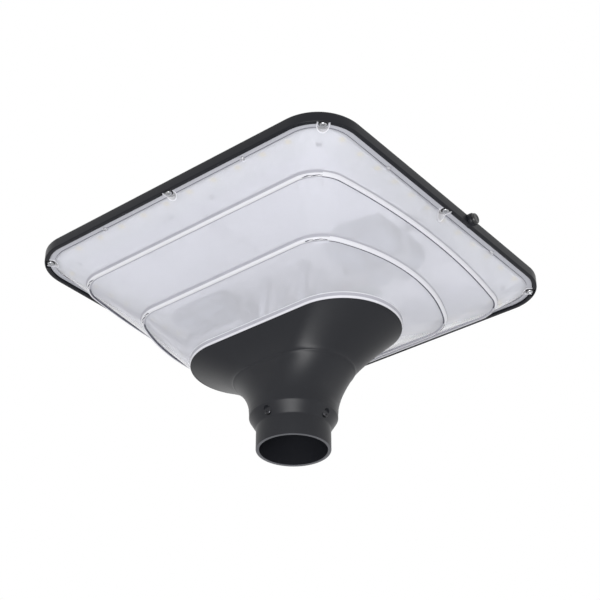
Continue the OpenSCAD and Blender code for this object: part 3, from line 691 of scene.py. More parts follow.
@dataclass(frozen=True)
class Plan:
    """A plan of the lens: a rounded rectangle whose two ends bow outwards, in millimetres."""

    length: float
    width: float
    corner: float
    bow: float = 0.2
    points: tuple[int, int] = (14, 22)

    def inset(self, d: float) -> Plan:
        """The same plan drawn in by d all round."""
        return Plan(self.length - d, self.width - d, self.corner - d, self.bow, self.points)

    def outline(self) -> list[tuple[float, float]]:
        """Draws the plan.

        Returns:
            Its points, anticlockwise from the middle of the bowed end.
        """
        bow = math.radians(self.bow)
        bow_r = self.corner + (self.width - self.corner) / math.sin(bow)
        bow_x = self.length - bow_r
        corner_x = bow_x + (bow_r - self.corner) * math.cos(bow)
        ends, corners = self.points
        quarter = []
        for i in range(ends):
            t = bow * (i + 0.5) / ends
            quarter.append((bow_x + bow_r * math.cos(t), bow_r * math.sin(t)))
        for i in range(corners):
            t = bow + (math.pi / 2 - bow) * (i + 0.5) / corners
            x = corner_x + self.corner * math.cos(t)
            quarter.append((x, self.width - self.corner + self.corner * math.sin(t)))
        back = quarter[::-1]
        return (
            quarter
            + [(-x, y) for x, y in back]
            + [(-x, -y) for x, y in quarter]
            + [(x, -y) for x, y in back]
        )

    def ring(self, z: float) -> Ring:
        """The plan at a height."""
        return [(x, y, z) for x, y in self.outline()]


@dataclass
class Studio:
    """The camera, the lamps, the world and the floor."""

    camera_at: Point = (776.26, -954.11, -598.26)
    # Axis of the camera's turn, as long as the turn in radians.
    camera_turn: Point = (0.96905086, 0.3415048, -0.61850047)
    focal: float = 82.68
    floor_z: float = -1600.0
    floor_half: float = 9000.0
    ambient: float = 0.74
    key_power: float = 50.0
    side_share: float = 0.22
    aim_z: float = 150.0

    def build(self) -> None:
        """Builds the whole studio."""
        self.camera()
        self.world()
        self.floor()
        self.lamps()
        bpy.context.scene.view_settings.view_transform = "Standard"

    def camera(self) -> None:
        """Places the camera as the photograph was taken."""
        turn_by = Vector(self.camera_turn)
        look = Matrix.Rotation(turn_by.length, 3, turn_by.normalized())
        made = bpy.data.objects.new("camera", bpy.data.cameras.new("camera"))
        bpy.context.scene.collection.objects.link(made)
        made.data.sensor_width = 36.0
        made.data.lens = self.focal
        made.data.clip_start, made.data.clip_end = 0.05, 50.0
        columns = Matrix((look[0], -look[1], -look[2])).transposed().to_4x4()
        made.matrix_world = Matrix.Translation(Vector(self.camera_at) * MM) @ columns
        bpy.context.scene.camera = made
        LOG.info("camera at %s", tuple(round(c, 3) for c in made.location))

    def world(self) -> None:
        """A plain pale surround that the camera, gloss and glass see as white."""
        world = bpy.data.worlds.new("studio")
        bpy.context.scene.world = world
        world.use_nodes = True
        tree = world.node_tree
        tree.nodes.clear()
        rays = add_node(tree, "ShaderNodeLightPath")
        seen = add_node(
            tree,
            "ShaderNodeMath",
            None,
            {0: rays.outputs["Is Camera Ray"], 1: rays.outputs["Is Glossy Ray"]},
            operation="MAXIMUM",
        )
        seen = add_node(
            tree,
            "ShaderNodeMath",
            None,
            {0: seen.outputs[0], 1: rays.outputs["Is Transmission Ray"]},
            operation="MAXIMUM",
        )
        level = add_node(
            tree, "ShaderNodeMapRange", {"To Min": self.ambient, "To Max": 1.0}, {"Value": seen.outputs[0]}
        )
        sky = add_node(
            tree, "ShaderNodeBackground", {"Color": linear("#ffffff")}, {"Strength": level.outputs["Result"]}
        )
        add_node(tree, "ShaderNodeOutputWorld", None, {"Surface": sky.outputs[0]})

    def floor(self) -> None:
        """A plain pale floor, far below the light."""
        clear_selection()
        bpy.ops.mesh.primitive_plane_add(size=2 * self.floor_half * MM, location=(0, 0, 0))
        floor = bpy.context.object
        floor.name = floor.data.name = "studio_floor"
        bpy.ops.object.mode_set(mode="EDIT")
        bpy.ops.mesh.subdivide(number_cuts=11)
        bpy.ops.object.mode_set(mode="OBJECT")
        move(floor, at(0, 0, self.floor_z))
        finish = Finish("studio_paper", "#f4f4f4", 0.8, mottle=0.004, patch=400, grain=3, relief=0.01)
        floor.data.materials.append(finish.material())

    def lamps(self) -> None:
        """One broad soft lamp from the camera's side and a weaker one from the other side."""
        for name, place, size, power in (
            ("key_softbox", (900.0, -1500.0, -1300.0), 1400.0, self.key_power),
            ("side_softbox", (2000.0, 1300.0, -1000.0), 3000.0, self.side_share * self.key_power),
        ):
            lamp = bpy.data.lights.new(name, "AREA")
            lamp.shape = "DISK"
            lamp.size = size * MM
            lamp.energy = power
            made = bpy.data.objects.new(name, lamp)
            bpy.context.scene.collection.objects.link(made)
            made.location = Vector(place) * MM
            aim = Vector((0, 0, self.aim_z)) * MM - made.location
            made.rotation_mode = "QUATERNION"
            made.rotation_quaternion = aim.to_track_quat("-Z", "Y")


@dataclass
class Head:
    """Sizes that the head's parts share, in millimetres."""

    half: float = 200.0
    corner: float = 48.0
    rim_z: float = 202.2
    ledge_z: float = 205.5
    floor_z: float = 207.7
    deck_z: float = 210.7
    lip: float = 4.4
    lug_in: float = 9.2
    screw_in: float = 6.5
    bezel: float = 14.0

    def plan(self, inset: float) -> Plan:
        """The head's rounded square drawn in."""
        return Plan(self.half - inset, self.half - inset, self.corner - inset, points=(3, 26))

    def lug_places(self, inset: float) -> list[tuple[float, float, float]]:
        """Places the screw lugs: four at the corners and four at the middles of the sides.

        Args:
            inset: Distance of the screws from the head's edge, in millimetres.

        Returns:
            Each lug's x, y and outward bearing in degrees.
        """
        corner = self.half - self.corner + (self.corner - inset) * math.sqrt(0.5)
        side = self.half - inset
        corners = [
            (sx * corner, sy * corner, math.degrees(math.atan2(sy, sx))) for sx in (-1, 1) for sy in (-1, 1)
        ]
        return corners + [(side, 0, 0), (0, side, 90), (-side, 0, 180), (0, -side, 270)]

    def slots(self, radius: float, reach: float, low: float, high: float) -> list[bpy.types.Object]:
        """Upright tools with a U plan, one for each lug, open outwards.

        Args:
            radius: The U's radius, in millimetres.
            reach: How far the U's legs run outwards from the screw.
            low: Height of the lower end.
            high: Height of the upper end.

        Returns:
            The tools in their places.
        """
        turns = [math.radians(90 + 180 * k / 32) for k in range(33)]
        curve = [(radius * math.cos(a), radius * math.sin(a)) for a in turns]
        outline = [(reach, radius), *curve, (reach, -radius)]
        tool = loft("slot", [[(x, y, z) for x, y in outline] for z in (low, high)])
        tools = [
            twin(tool, at(x, y, 0) @ turn(bearing, "Z")) for x, y, bearing in self.lug_places(self.lug_in)
        ]
        bpy.data.objects.remove(tool)
        return tools


@dataclass
class Housing:
    """The cast top housing with its rim, its bezel and the button's boss."""

    head: Head = field(default_factory=Head)
    rim_h: float = 10.8
    crown_h: float = 4.0
    crown_in: float = 8.0
    seal_out: float = 11.2
    button_y: float = 36.5
    button_z: float = 209.2
    boss_r: float = 7.0
    boss_x: float = 204.0
    boss_len: float = 8.6
    bore_r: float = 6.05
    pocket_x: float = 198.0
    scallop_r: float = 6.5
    scallop_reach: float = 7.6

    def build(self) -> None:
        """Lofts the rim and floor, adds the boss and bores it."""
        rim, top = self.head.rim_z, self.rim_h + self.crown_h
        crown = rounded(
            [
                (0.0, self.rim_h - 1.0),
                (0.25, self.rim_h),
                (0.35 * self.crown_in, self.rim_h + 0.6 * self.crown_h),
                (0.75 * self.crown_in, self.rim_h + 0.93 * self.crown_h),
                (self.crown_in, top),
            ],
            4,
        )
        bezel = self.head.bezel
        profile = [
            (bezel + 0.2, self.head.deck_z - rim),
            (bezel, self.head.deck_z - rim + 0.2),
            (bezel, top - 0.6),
            (bezel - 0.18, top - 0.18),
            (bezel - 0.6, top),
            *((max(inset, 0.0), z) for inset, z in crown[::-1]),
            (0.0, 0.9),
            (0.1, 0.45),
            (0.4, 0.12),
            (0.9, 0.0),
            (self.head.lip - 0.5, 0.0),
            (self.head.lip - 0.12, 0.12),
            (self.head.lip, 0.5),
            (self.head.lip, self.head.ledge_z + 0.2 - rim),
            (self.seal_out, self.head.ledge_z + 0.2 - rim),
            (self.seal_out, self.head.floor_z - rim),
            (self.seal_out + 1.0, self.head.floor_z - rim),
        ]
        body = loft("housing_body", [self.head.plan(inset).ring(rim + z) for inset, z in profile], sharp=40)
        boss = turned(
            "housing_boss",
            [(self.boss_r, 0.0), (self.boss_r, 6.0), (self.boss_r - 0.25, 8.2), (self.boss_r - 0.45, 8.45),
             (self.boss_r - 0.8, self.boss_len)],
        )
        facing = at(0, self.button_y, self.button_z) @ turn(90, "Y")
        move(boss, at(self.boss_x - self.boss_len, 0, 0) @ facing)
        carve(body, boss, Carve.ADD)
        bore = turned("bore", [(self.bore_r, 0.0), (self.bore_r, 5.7), (self.bore_r + 1.4, 7.1)])
        cut(body, [move(bore, at(self.pocket_x, 0, 0) @ facing)])
        scallops = self.head.slots(self.scallop_r, self.scallop_reach, rim - 2, self.head.ledge_z)
        cut(body, [joined("scallops", scallops)])
        body.name = body.data.name = "housing_cast"
        body.data.materials.append(RIM_COAT.material())
        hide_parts("top_housing")
        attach(body, "head")
        LOG.info("housing_cast: %d faces", len(body.data.polygons))


@dataclass
class Pane:
    """The solar panel's glass, its edges ground and its underside a hair above the cells."""

    head: Head = field(default_factory=Head)
    inset: float = 14.6
    low: float = 212.73
    high: float = 215.9
    grind: float = 0.5

    def build(self) -> None:
        """Lofts the pane."""
        profile = ((self.grind, self.low), (0.0, self.low + self.grind), (0.0, self.high - self.grind),
                   (self.grind, self.high))
        pane = loft("glass_pane", [self.head.plan(self.inset + d).ring(z) for d, z in profile])
        pane.data.materials.append(GLASS.material())
        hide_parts("panel_glass")
        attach(pane, "head")
        LOG.info("glass_pane: %d faces", len(pane.data.polygons))


@dataclass
class Lens:
    """The one-piece moulded lens: a flange, three frosted tiers, two clear steps and its screw lugs."""

    head: Head = field(default_factory=Head)
    root: Plan = Plan(189.2, 189.2, 37.2)
    step1: Plan = Plan(178.7, 162.0, 37.0, 10.2)
    step2: Plan = Plan(152.3, 113.6, 41.0, 25.9)
    mouth: Plan = Plan(123.0, 60.8, 60.8, 45.0)
    z_flange: float = 204.3
    z_shelf: float = 204.2
    z_root: float = 203.4
    z_step1: float = 181.6
    z_step2: float = 150.7
    z_mouth: float = 115.4
    skirt_h: float = 6.3
    skirt_lean: float = 1.4
    step_w: float = 5.0
    step_h: float = 4.5
    sag: float = 0.13
    wall: float = 1.92
    lug_r: float = 6.2
    lug_wall: float = 0.95
    lug_reach: float = 7.2
    nub_in: float = 10.6
    nub_along: float = 91.5
    flange_edge: float = 5.1
    flange_back: float = 14.3
    lug_rise: float = 0.45
    # Bearings of a face's normal in radians: from where a side counts as straight, and where the painted dark
    # reflection strokes run.
    straight_from: float = 0.75
    strokes: tuple[float, float] = (0.8, 1.35)
    # The painted reflection strokes' pace round the corner and down the wall, and how much of them is dark.
    stroke_turn: float = 23.0
    stroke_drop: float = 9.0
    stroke_level: float = -0.3

    def tier(self, start: Plan, z0: float, end: Plan, z1: float, count: int, last: float = 0.0) -> list[Ring]:
        """Rings between two plans, sagging inwards a little, without the two plans themselves.

        Args:
            start: The upper plan.
            z0: Its height.
            end: The lower plan.
            z1: Its height.
            count: Bands between the two plans.
            last: Share of the way of one more ring close to the end, or 0 for none.

        Returns:
            The rings.
        """
        a, b = start.outline(), end.outline()
        rings = []
        for t in [k / count for k in range(1, count)] + [last] * (last > 0):
            s = t + self.sag * t * (1 - t)
            z = z0 + (z1 - z0) * t
            rings.append([(p[0] + (q[0] - p[0]) * s, p[1] + (q[1] - p[1]) * s, z) for p, q in zip(a, b)])
        return rings

    def step(self, plan: Plan, z: float) -> list[Ring]:
        """Rings of one clear step: a wall, a rounded shoulder, a land and a small drop back.

        Args:
            plan: The step's outer plan.
            z: Its height.

        Returns:
            The rings.
        """
        w, h = self.step_w, self.step_h
        curve = rounded([(0, 0), (0.22 * w, 0.8 * h), (0.45 * w, h), (0.9 * w, 1.08 * h), (w, 0.9 * h)], 6)
        return [plan.inset(d).ring(z - drop) for d, drop in curve]

    def step_slots(self) -> list[int]:
        """The slots of a step's bands.

        Along the straight sides a step shows a grey wall, a bright shoulder and a pale land; round
        the bowed ends a thin grey edge, a bright wall and land and a dark inner edge. The grey and dark bands are
        painted shade and painted reflection, laid out by side.

        Returns:
            A number for each band, made up as at STRAIGHT and BROKEN.
        """
        straight = [Skin.BAND] * 4 + [Skin.CLEAR] * 6 + [Skin.LAND] * 5 + [Skin.BAND] * 9
        bowed = [Skin.BAND] * 3 + [Skin.CLEAR] * 12 + [Skin.EDGE] * 9
        broken = [0] * 8 + [BROKEN] * 6 + [0] * 10
        return [c + STRAIGHT * a + b for a, b, c in zip(straight, bowed, broken)]

    def settle(self, shell: bpy.types.Object) -> None:
        """Gives each face of a step the slot of its side, and paints dark reflection strokes that break the bright
        line at the corners.

        Args:
            shell: The lofted lens.
        """
        first, last = self.strokes
        for face in shell.data.polygons:
            if face.material_index < STRAIGHT:
                continue
            broken, sides = divmod(face.material_index, BROKEN)
            straight, bowed = divmod(sides, STRAIGHT)
            bearing = math.atan2(abs(face.normal.y), abs(face.normal.x))
            wave = math.sin(self.stroke_turn * bearing + self.stroke_drop * face.center.z / MM)
            if broken and first < bearing < last and wave > self.stroke_level:
                face.material_index = Skin.EDGE
            else:
                face.material_index = straight if bearing > self.straight_from else bowed

    def skin(self) -> tuple[list[Ring], list[int]]:
        """All rings of the closed shell, from the flange down the outside and up the inside.

        Returns:
            The rings and the material slot of each band between them.
        """
        rings: list[Ring] = []
        slots: list[int] = []

        def add(new: Iterable[Ring], slot: int) -> None:
            """Adds rings and gives the bands that lead to them a slot.

            Args:
                new: The rings.
                slot: The bands' slot.
            """
            for ring in new:
                if rings:
                    slots.append(slot)
                rings.append(ring)

        def flange(d: float) -> Plan:
            """The head's plan with as many points as the lens's plans."""
            return Plan(self.head.half - d, self.head.half - d, self.head.corner - d)

        def step(plan: Plan, z: float) -> None:
            """Adds one clear step.

            Args:
                plan: The step's outer plan.
                z: Its height.
            """
            first, *others = self.step(plan, z)
            # The step's first band: painted shade along the straight sides.
            add([first], STRAIGHT * Skin.BAND + Skin.FROSTED)
            for ring, slot in zip(others, self.step_slots()):
                add([ring], slot)

        t, back = self.wall, 0.9 * self.step_h
        after1, after2 = self.step1.inset(self.step_w), self.step2.inset(self.step_w)
        skirt = self.mouth.inset(-self.skirt_lean)
        z_skirt = self.z_mouth + self.skirt_h
        edge, rear = flange(self.flange_edge), flange(self.flange_back)
        add([edge.ring(self.head.ledge_z), edge.ring(self.z_flange + 0.3),
             flange(5.2).ring(self.z_flange + 0.08), flange(5.5).ring(self.z_flange)], Skin.FLANGE)
        add([self.root.inset(-0.5).ring(self.z_flange)], Skin.FLANGE)
        add([self.root.inset(-0.1).ring(self.z_flange - 0.05)], Skin.FLANGE)
        # Painted shade in the root's corner.
        add([self.root.inset(0.1).ring(self.z_root)], Skin.ROOT)
        add(self.tier(self.root, self.z_root, self.step1, self.z_step1, 10, 0.975), Skin.FROSTED)
        step(self.step1, self.z_step1)
        add(self.tier(after1, self.z_step1 - back, self.step2, self.z_step2, 12, 0.98), Skin.FROSTED)
        step(self.step2, self.z_step2)
        add(self.tier(after2, self.z_step2 - back, skirt, z_skirt, 12), Skin.FROSTED)
        add([skirt.ring(z_skirt)], Skin.FROSTED)
        add([skirt.inset(0.15).ring(z_skirt - 0.8)], Skin.CLEAR)
        # A grey band of painted shade at the mouth's lip.
        add([self.mouth.inset(-0.6).ring(self.z_mouth + 2.3)], Skin.BAND)
        add([self.mouth.inset(-0.3).ring(self.z_mouth + 1.0), self.mouth.ring(self.z_mouth)], Skin.CLEAR)
        add([self.mouth.inset(d).ring(z) for d, z in
             ((1.2, self.z_mouth), (1.2, self.z_mouth + 0.3), (5.2, self.z_mouth + 0.3), (5.2, self.z_mouth + 2.7),
              (t, self.z_mouth + 2.7))], Skin.CLEAR)
        add([skirt.inset(t).ring(z_skirt + t)], Skin.INNER)
        add(self.tier(skirt.inset(t), z_skirt + t, after2.inset(t), self.z_step2 - back + t, 6), Skin.INNER)
        add([after2.inset(t).ring(self.z_step2 - back + t), self.step2.inset(t).ring(self.z_step2 + t)], Skin.INNER)
        add(self.tier(self.step2.inset(t), self.z_step2 + t, after1.inset(t), self.z_step1 - back + t, 6), Skin.INNER)
        add([after1.inset(t).ring(self.z_step1 - back + t), self.step1.inset(t).ring(self.z_step1 + t)], Skin.INNER)
        add(self.tier(self.step1.inset(t), self.z_step1 + t, self.root.inset(t), self.z_shelf, 5), Skin.INNER)
        add([self.root.inset(t).ring(self.z_shelf)], Skin.INNER)
        add([rear.ring(self.z_shelf), rear.ring(self.head.ledge_z), edge.ring(self.head.ledge_z)], Skin.FLANGE)
        return rings, slots

    def lugs(self) -> bpy.types.Object:
        """Makes the clear U-shaped walls of the screw pockets, which follow the slope of the first tier.

        Returns:
            The eight walls as one piece.
        """
        low, high = self.z_step1, self.z_flange + 0.3
        walls = joined("lugs", self.head.slots(self.lug_r, self.lug_reach, low, high))
        hollows = self.head.slots(self.lug_r - self.lug_wall, self.lug_reach + 1, low - 1, high + 1)
        cut(walls, [joined("hollows", hollows)])
        reach = self.head.lug_in - self.lug_reach
        lip = Plan(self.head.half - reach, self.head.half - reach, self.head.corner - reach)
        rings = [lip.ring(high), lip.ring(self.z_root + 0.6), self.root.ring(self.z_root - 0.15)]
        rings += [[(x, y, z - self.lug_rise) for x, y, z in ring]
                  for ring in self.tier(self.root, self.z_root, self.step1, self.z_step1, 10)]
        keep = loft("keep", [*rings, self.step1.ring(self.z_step1)])
        carve(walls, keep, Carve.KEEP)
        smooth(walls, 30)
        for finish in (CLEAR_LENS, LAND_LENS):
            walls.data.materials.append(finish.material())
        for face in walls.data.polygons:
            face.material_index = int(abs(face.normal.z) < 0.3)
        return walls

    def build(self) -> None:
        """Lofts the shell, cuts it for the pockets, adds their walls and the nubs, and dresses them."""
        rings, slots = self.skin()
        shell = loft("lens_shell", rings, slots, Ends.JOINED, sharp=28)
        self.settle(shell)
        for slot in Skin:
            shell.data.materials.append(LENS_FINISHES[slot].material())
        tools = self.head.slots(self.lug_r, self.lug_reach + 4, self.z_step1, self.z_flange - 0.02)
        pockets = joined("pockets", tools)
        pockets.data.materials.append(POCKET_LENS.material())
        cut(shell, [pockets])
        parts = [self.lugs()]
        top = self.z_flange + 0.2
        nub = turned("nub", [(2.7, top), (2.6, top - 1.8), (2.2, top - 2.3), (1.3, top - 2.4), (1.1, top - 1.6),
                             (0.6, top - 1.5)], 32)
        side = self.head.half - self.nub_in
        for quarter in range(4):
            for s in (-1, 1):
                parts.append(twin(nub, turn(90 * quarter, "Z") @ at(side, s * self.nub_along, 0)))
        bpy.data.objects.remove(nub)
        for part in parts[1:]:
            part.data.materials.append(POCKET_LENS.material())
        lens = joined("lens_moulded", [shell, *parts])
        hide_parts("lens")
        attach(lens, "head")
        LOG.info("lens_moulded: %d faces", len(lens.data.polygons))


@dataclass
class Neck:
    """The cast neck: an oval mouth that flares from a round collar, a bevel and a pole sleeve."""

    top: float = 115.2
    mouth: tuple[float, float] = (123.0, 60.8)
    crease_h: float = 81.0
    crease: tuple[float, float] = (66.5, 46.7)
    bead: float = 0.42
    bead_w: float = 1.5
    # Powers of the flare's length and width, above the crease and below it.
    top_powers: tuple[float, float] = (1.22, 1.6)
    stem_powers: tuple[float, float] = (2.0, 0.7)
    collar_h: float = 39.2
    collar_r: float = 44.7
    bevel_h: float = 34.2
    sleeve_h: float = 22.9
    sleeve_r: float = 37.5
    socket_r: float = 34.1
    socket_depth: float = 60.0
    stop_t: float = 3.0
    wall: float = 2.6
    web_t: float = 4.0
    boss_r: float = 7.0
    boss_drop: float = 10.0
    post_at: tuple[float, float] = (26.0, 16.0)
    screw_h: float = 28.2
    screw_r: float = 4.0
    screw_in: float = 3.8
    screw_back: float = 0.4
    seat_in: float = 3.6
    seat_gap: float = 0.4
    # Height of the sleeve's end whose faces get the painted highlight finish.
    end_band: float = 0.45
    half_points: int = 48

    def oval(self, length: float, width: float, z: float) -> Ring:
        """An oval of two half circles.

        Args:
            length: Half its length, in millimetres.
            width: Half its width.
            z: Its height.

        Returns:
            The oval's points.
        """
        n, c = self.half_points, max(length - width, 0.0)
        ring = []
        for sign, start in ((1, -90), (-1, 90)):
            for i in range(n):
                t = math.radians(start + 180 * (i + 0.5) / n)
                ring.append((sign * c + width * math.cos(t), width * math.sin(t), z))
        return ring

    def size(self, z: float) -> tuple[float, float]:
        """Sizes the flare, with its low bead at the crease.

        Args:
            z: The height.

        Returns:
            Half the length and half the width there.
        """
        bead = self.bead * math.exp(-(((z - self.crease_h) / self.bead_w) ** 2))
        if z >= self.crease_h:
            t = (z - self.crease_h) / (self.top - self.crease_h)
            return (
                bead + self.crease[0] + (self.mouth[0] - self.crease[0]) * t ** self.top_powers[0],
                bead + self.crease[1] + (self.mouth[1] - self.crease[1]) * t ** self.top_powers[1],
            )
        t = max(z - self.collar_h, 0.0) / (self.crease_h - self.collar_h)
        return (
            bead + self.collar_r + (self.crease[0] - self.collar_r) * t ** self.stem_powers[0],
            bead + self.collar_r + (self.crease[1] - self.collar_r) * t ** self.stem_powers[1],
        )

    def flare(self, z: float, inset: float = 0.0) -> Ring:
        """The flare's ring at a height, drawn in."""
        length, width = self.size(z)
        return self.oval(length - inset, width - inset, z)

    def round(self, radius: float, z: float) -> Ring:
        """A round ring with as many points as the oval ones."""
        return self.oval(radius, radius, z)

    def rings(self) -> list[Ring]:
        """All rings of the casting.

        Returns:
            Rings from the web's upper face, down the outside and up the bore to the web's lower face.
        """
        length, width = self.mouth
        rings = [
            self.oval(length - d, width - d, z)
            for d, z in ((7.9, self.top), (7.9, self.top + 2.6), (7.6, self.top + 2.9), (5.8, self.top + 2.9),
                         (5.5, self.top + 2.6), (5.5, self.top - 1.2), (2.1, self.top - 1.2), (2.1, self.top),
                         (0.25, self.top), (0.06, self.top - 0.1))
        ]
        rise, stem = self.top - self.crease_h, self.crease_h - self.collar_h
        rings += [self.flare(self.top - 0.4 - (rise - 0.4) * k / 22) for k in range(22)]
        rings += [self.flare(self.crease_h - d) for d in (-1.2, -0.8, -0.4, 0.0, 0.4, 0.8, 1.2, 1.7)]
        rings += [self.flare(self.crease_h - stem * k / 18) for k in range(1, 18)]
        r, s = self.collar_r, self.sleeve_r
        rings += [self.round(radius, z) for radius, z in (
            (r, self.collar_h), (r, self.bevel_h + 0.9), (r - 0.12, self.bevel_h + 0.35),
            (r - 0.5, self.bevel_h - 0.35), (s + 0.5, self.sleeve_h + 0.9), (s + 0.1, self.sleeve_h + 0.1),
            (s, self.sleeve_h - 0.8), (s, 0.8), (s - 0.2, 0.2), (s - 0.7, 0.0),
            (self.socket_r + 0.5, 0.0), (self.socket_r, 0.5),
            (self.socket_r, self.socket_depth), (self.socket_r - 3, self.socket_depth),
            (self.socket_r - 3, self.socket_depth + self.stop_t),
        )]
        base, under = self.socket_depth + self.stop_t, self.top - self.web_t
        rings += [self.flare(base + (under - base) * k / 16, self.wall) for k in range(17)]
        return rings

    def build(self) -> None:
        """Lofts the neck, adds the bosses, cuts the screw seats and dresses it."""
        body = loft("neck_body", self.rings(), sharp=32)
        under = self.top - self.web_t
        seats = []
        for k in range(4):
            seat_r = self.screw_r + self.seat_gap
            seat = turned("seat", [(seat_r, 0), (seat_r, 12)], 48)
            place = at(self.collar_r - self.seat_in, 0, self.screw_h)
            seats.append(move(seat, turn(90 * k, "Z") @ place @ turn(90, "Y")))
        cut(body, seats)
        bosses = []
        for sx in (-1, 1):
            for sy in (-1, 1):
                boss = turned("boss", [(self.boss_r, under + 0.2), (self.boss_r, under - self.boss_drop + 0.6),
                                       (self.boss_r - 0.6, under - self.boss_drop)], 40)
                bosses.append(move(boss, at(sx * self.post_at[0], sy * self.post_at[1], 0)))
        neck = joined("neck_cast", [body, *bosses])
        neck.data.materials.clear()
        for finish in (POWDER_COAT, END_HIGHLIGHT):
            neck.data.materials.append(finish.material())
        # The faces at the sleeve's end take the lighter finish, a painted highlight.
        for face in neck.data.polygons:
            face.material_index = int(face.center.z < self.end_band * MM)
        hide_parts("neck")
        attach(neck, "head")
        LOG.info("neck_cast: %d faces", len(neck.data.polygons))


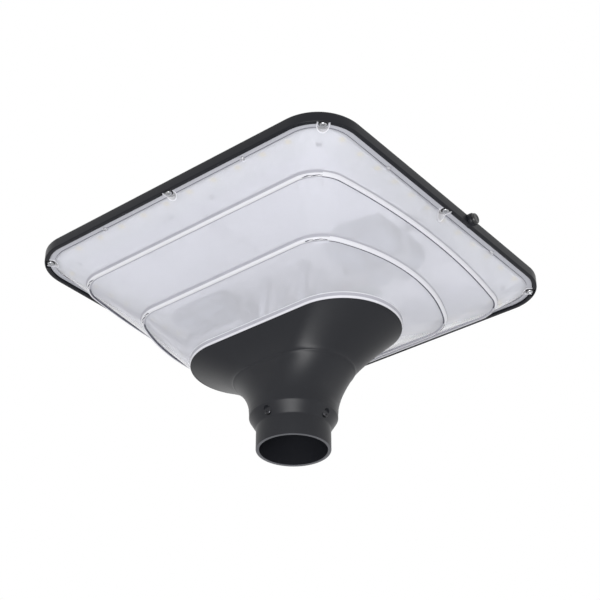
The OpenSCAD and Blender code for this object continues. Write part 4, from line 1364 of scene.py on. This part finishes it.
@dataclass
class Fasteners:
    """The screws that show: eight pan-head lens screws and four grub screws."""

    lens: Lens = field(default_factory=Lens)
    neck: Neck = field(default_factory=Neck)
    head_r: float = 3.5
    head_h: float = 2.1
    shank_r: float = 2.0
    shank_len: float = 9.0

    def drive(self, recess: Recess, reach: float, z: float, count: int) -> Ring:
        """A ring round the recess in a screw's head.

        Args:
            recess: The kind of drive.
            reach: The recess's half width over its points, in millimetres.
            z: The ring's height.
            count: Points round the ring.

        Returns:
            The ring.
        """
        ring = []
        for i in range(count):
            t = 2 * math.pi * (i + 0.5) / count
            c, s = abs(math.cos(t)) + 1e-9, abs(math.sin(t)) + 1e-9
            if recess is Recess.CROSS:
                arm = 0.3 * reach
                r = max(min(reach / c, arm / s), min(arm / c, reach / s))
            else:
                r = reach * math.cos(math.pi / 6) / math.cos((t % (math.pi / 3)) - math.pi / 6)
            ring.append((r * math.cos(t), r * math.sin(t), z))
        return ring

    def pan_head(self) -> bpy.types.Object:
        """Models a pan-head screw with a cross recess.

        Returns:
            The screw, its head's seat at z = 0 and its face down.
        """
        n, r, h = 48, self.head_r, self.head_h
        shank = ((self.shank_r * 0.6, self.shank_len), (self.shank_r, self.shank_len - 0.8), (self.shank_r, 0))
        rings = [circle_ring(radius, z, n) for radius, z in shank]
        rings += [circle_ring(r * a, -h * b, n) for a, b in
                  ((0.98, 0), (1.0, 0.06), (1.0, 0.5), (0.97, 0.68), (0.86, 0.86), (0.7, 0.95), (0.66, 0.97))]
        rings += [self.drive(Recess.CROSS, 0.58 * r, -0.97 * h, n), self.drive(Recess.CROSS, 0.5 * r, -0.9 * h, n),
                  self.drive(Recess.CROSS, 0.3 * r, -0.25 * h, n)]
        return loft("pan_head", rings, sharp=30)

    def grub(self) -> bpy.types.Object:
        """Models a grub screw with a hex socket.

        Returns:
            The screw, its outer face at z = 0 facing up.
        """
        n, r = 48, self.neck.screw_r
        neck = self.neck
        length = neck.collar_r - neck.screw_in - neck.socket_r - neck.screw_back
        rings = [circle_ring(0.8 * r, -length, n), circle_ring(r, -length + 0.8, n), circle_ring(r, -0.7, n),
                 circle_ring(0.86 * r, 0, n), circle_ring(0.62 * r, 0, n)]
        rings += [self.drive(Recess.HEX, 0.56 * r, -0.05, n), self.drive(Recess.HEX, 0.52 * r, -0.3, n),
                  self.drive(Recess.HEX, 0.52 * r, -2.6, n), circle_ring(0.2 * r, -3.2, n)]
        return loft("grub", rings, sharp=30)

    def build(self) -> None:
        """Models each screw once and sets its copies, each turned as it happened to stop."""
        model = self.pan_head()
        stops = (12, 47, 80, 23, 61, 5, 38, 71)
        places = self.lens.head.lug_places(self.lens.head.screw_in)
        copies = [twin(model, at(x, y, self.lens.z_flange) @ turn(stop, "Z"))
                  for stop, (x, y, _) in zip(stops, places)]
        bpy.data.objects.remove(model)
        model = turned("washer", [(2.1, 0.15), (4.5, 0.15), (4.6, 0.0), (4.5, -0.25), (2.2, -0.25)], 48)
        washers = [twin(model, at(x, y, self.lens.z_flange)) for x, y, _ in places]
        bpy.data.objects.remove(model)
        self.finish("lens_screw_set", copies, STEEL, "steel", "lens_screws", joined("washers", washers))
        model = self.grub()
        reach = self.neck.collar_r - self.neck.screw_in
        copies = [twin(model, turn(90 * k, "Z") @ at(reach, 0, self.neck.screw_h) @ turn(90, "Y") @ turn(stop, "Z"))
                  for k, stop in enumerate((8, 21, 40, 3))]
        bpy.data.objects.remove(model)
        self.finish("grub_screw_set", copies, BLACK_STEEL, "dark_steel", "set_screws")

    def finish(
        self, name: str, copies: list[bpy.types.Object], finish: Finish, slot: str, node: str,
        washers: bpy.types.Object | None = None,
    ) -> None:
        """Joins a set of screws and its washers, dresses it and lets it stand for its node.

        Args:
            name: The piece's name.
            copies: The screws.
            finish: Their finish.
            slot: Not used.
            node: The node that the piece replaces.
            washers: The washers, if the set has them.
        """
        made = joined(name, copies)
        made.data.materials.clear()
        made.data.materials.append(finish.material())
        if washers:
            washers.data.materials.append(RUBBER.material())
            made = joined(name, [made, washers])
        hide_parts(node)
        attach(made, "head")
        LOG.info("%s: %d faces", name, len(made.data.polygons))


@dataclass
class PushButton:
    """The rubber-capped push button, on the button's own body."""

    y: float = 36.5
    z: float = 209.2
    pocket_x: float = 198.0
    face_x: float = 207.0
    cap_r: float = 5.8
    low: float = 4.1

    def build(self) -> None:
        """Turns the cap with its raised ring and sets it in its boss."""
        high = self.face_x - self.pocket_x
        r = self.cap_r
        profile = [(r, self.low), *rounded([(r, high - 2.4), (r - 0.12, high - 1.3), (r - 0.55, high - 0.45),
                                           (r - 1.3, high - 0.05), (r - 1.9, high), (r - 2.5, high - 0.12),
                                           (r - 2.9, high - 0.5)], 4),
                   *rounded([(r - 3.0, high - 0.62), (1.9, high - 0.52), (0.9, high - 0.44), (0.2, high - 0.42)], 3)]
        cap = turned("button_cap", [(radius, min(z, high)) for radius, z in profile], 64)
        move(cap, at(self.pocket_x, self.y, self.z) @ turn(90, "Y"))
        cap.data.materials.append(BUTTON_RUBBER.material())
        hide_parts("switch_button")
        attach(cap, "button")
        LOG.info("button_cap: %d faces", len(cap.data.polygons))


def dress(nodes: dict[str, bpy.types.Object]) -> None:
    """Gives every CAD node that stays its finish.

    Args:
        nodes: The frame's nodes by name.
    """
    for name, finish in CAD_FINISHES.items():
        node = nodes[name]
        node.data.materials.clear()
        node.data.materials.append(finish.material())
        LOG.info("%s: %s", name, finish.name)


def main() -> None:
    """Loads the frame and builds the studio, the pieces and their finishes in order."""
    logging.basicConfig(level=logging.INFO, format="%(message)s")
    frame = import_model()
    Studio().build()
    makers: list[Callable[[], None]] = [
        Housing().build, Pane().build, Lens().build, Neck().build, Fasteners().build, PushButton().build,
    ]
    for make in makers:
        make()
    dress(frame["nodes"])
    clear_selection()


if __name__ == "__main__":
    main()
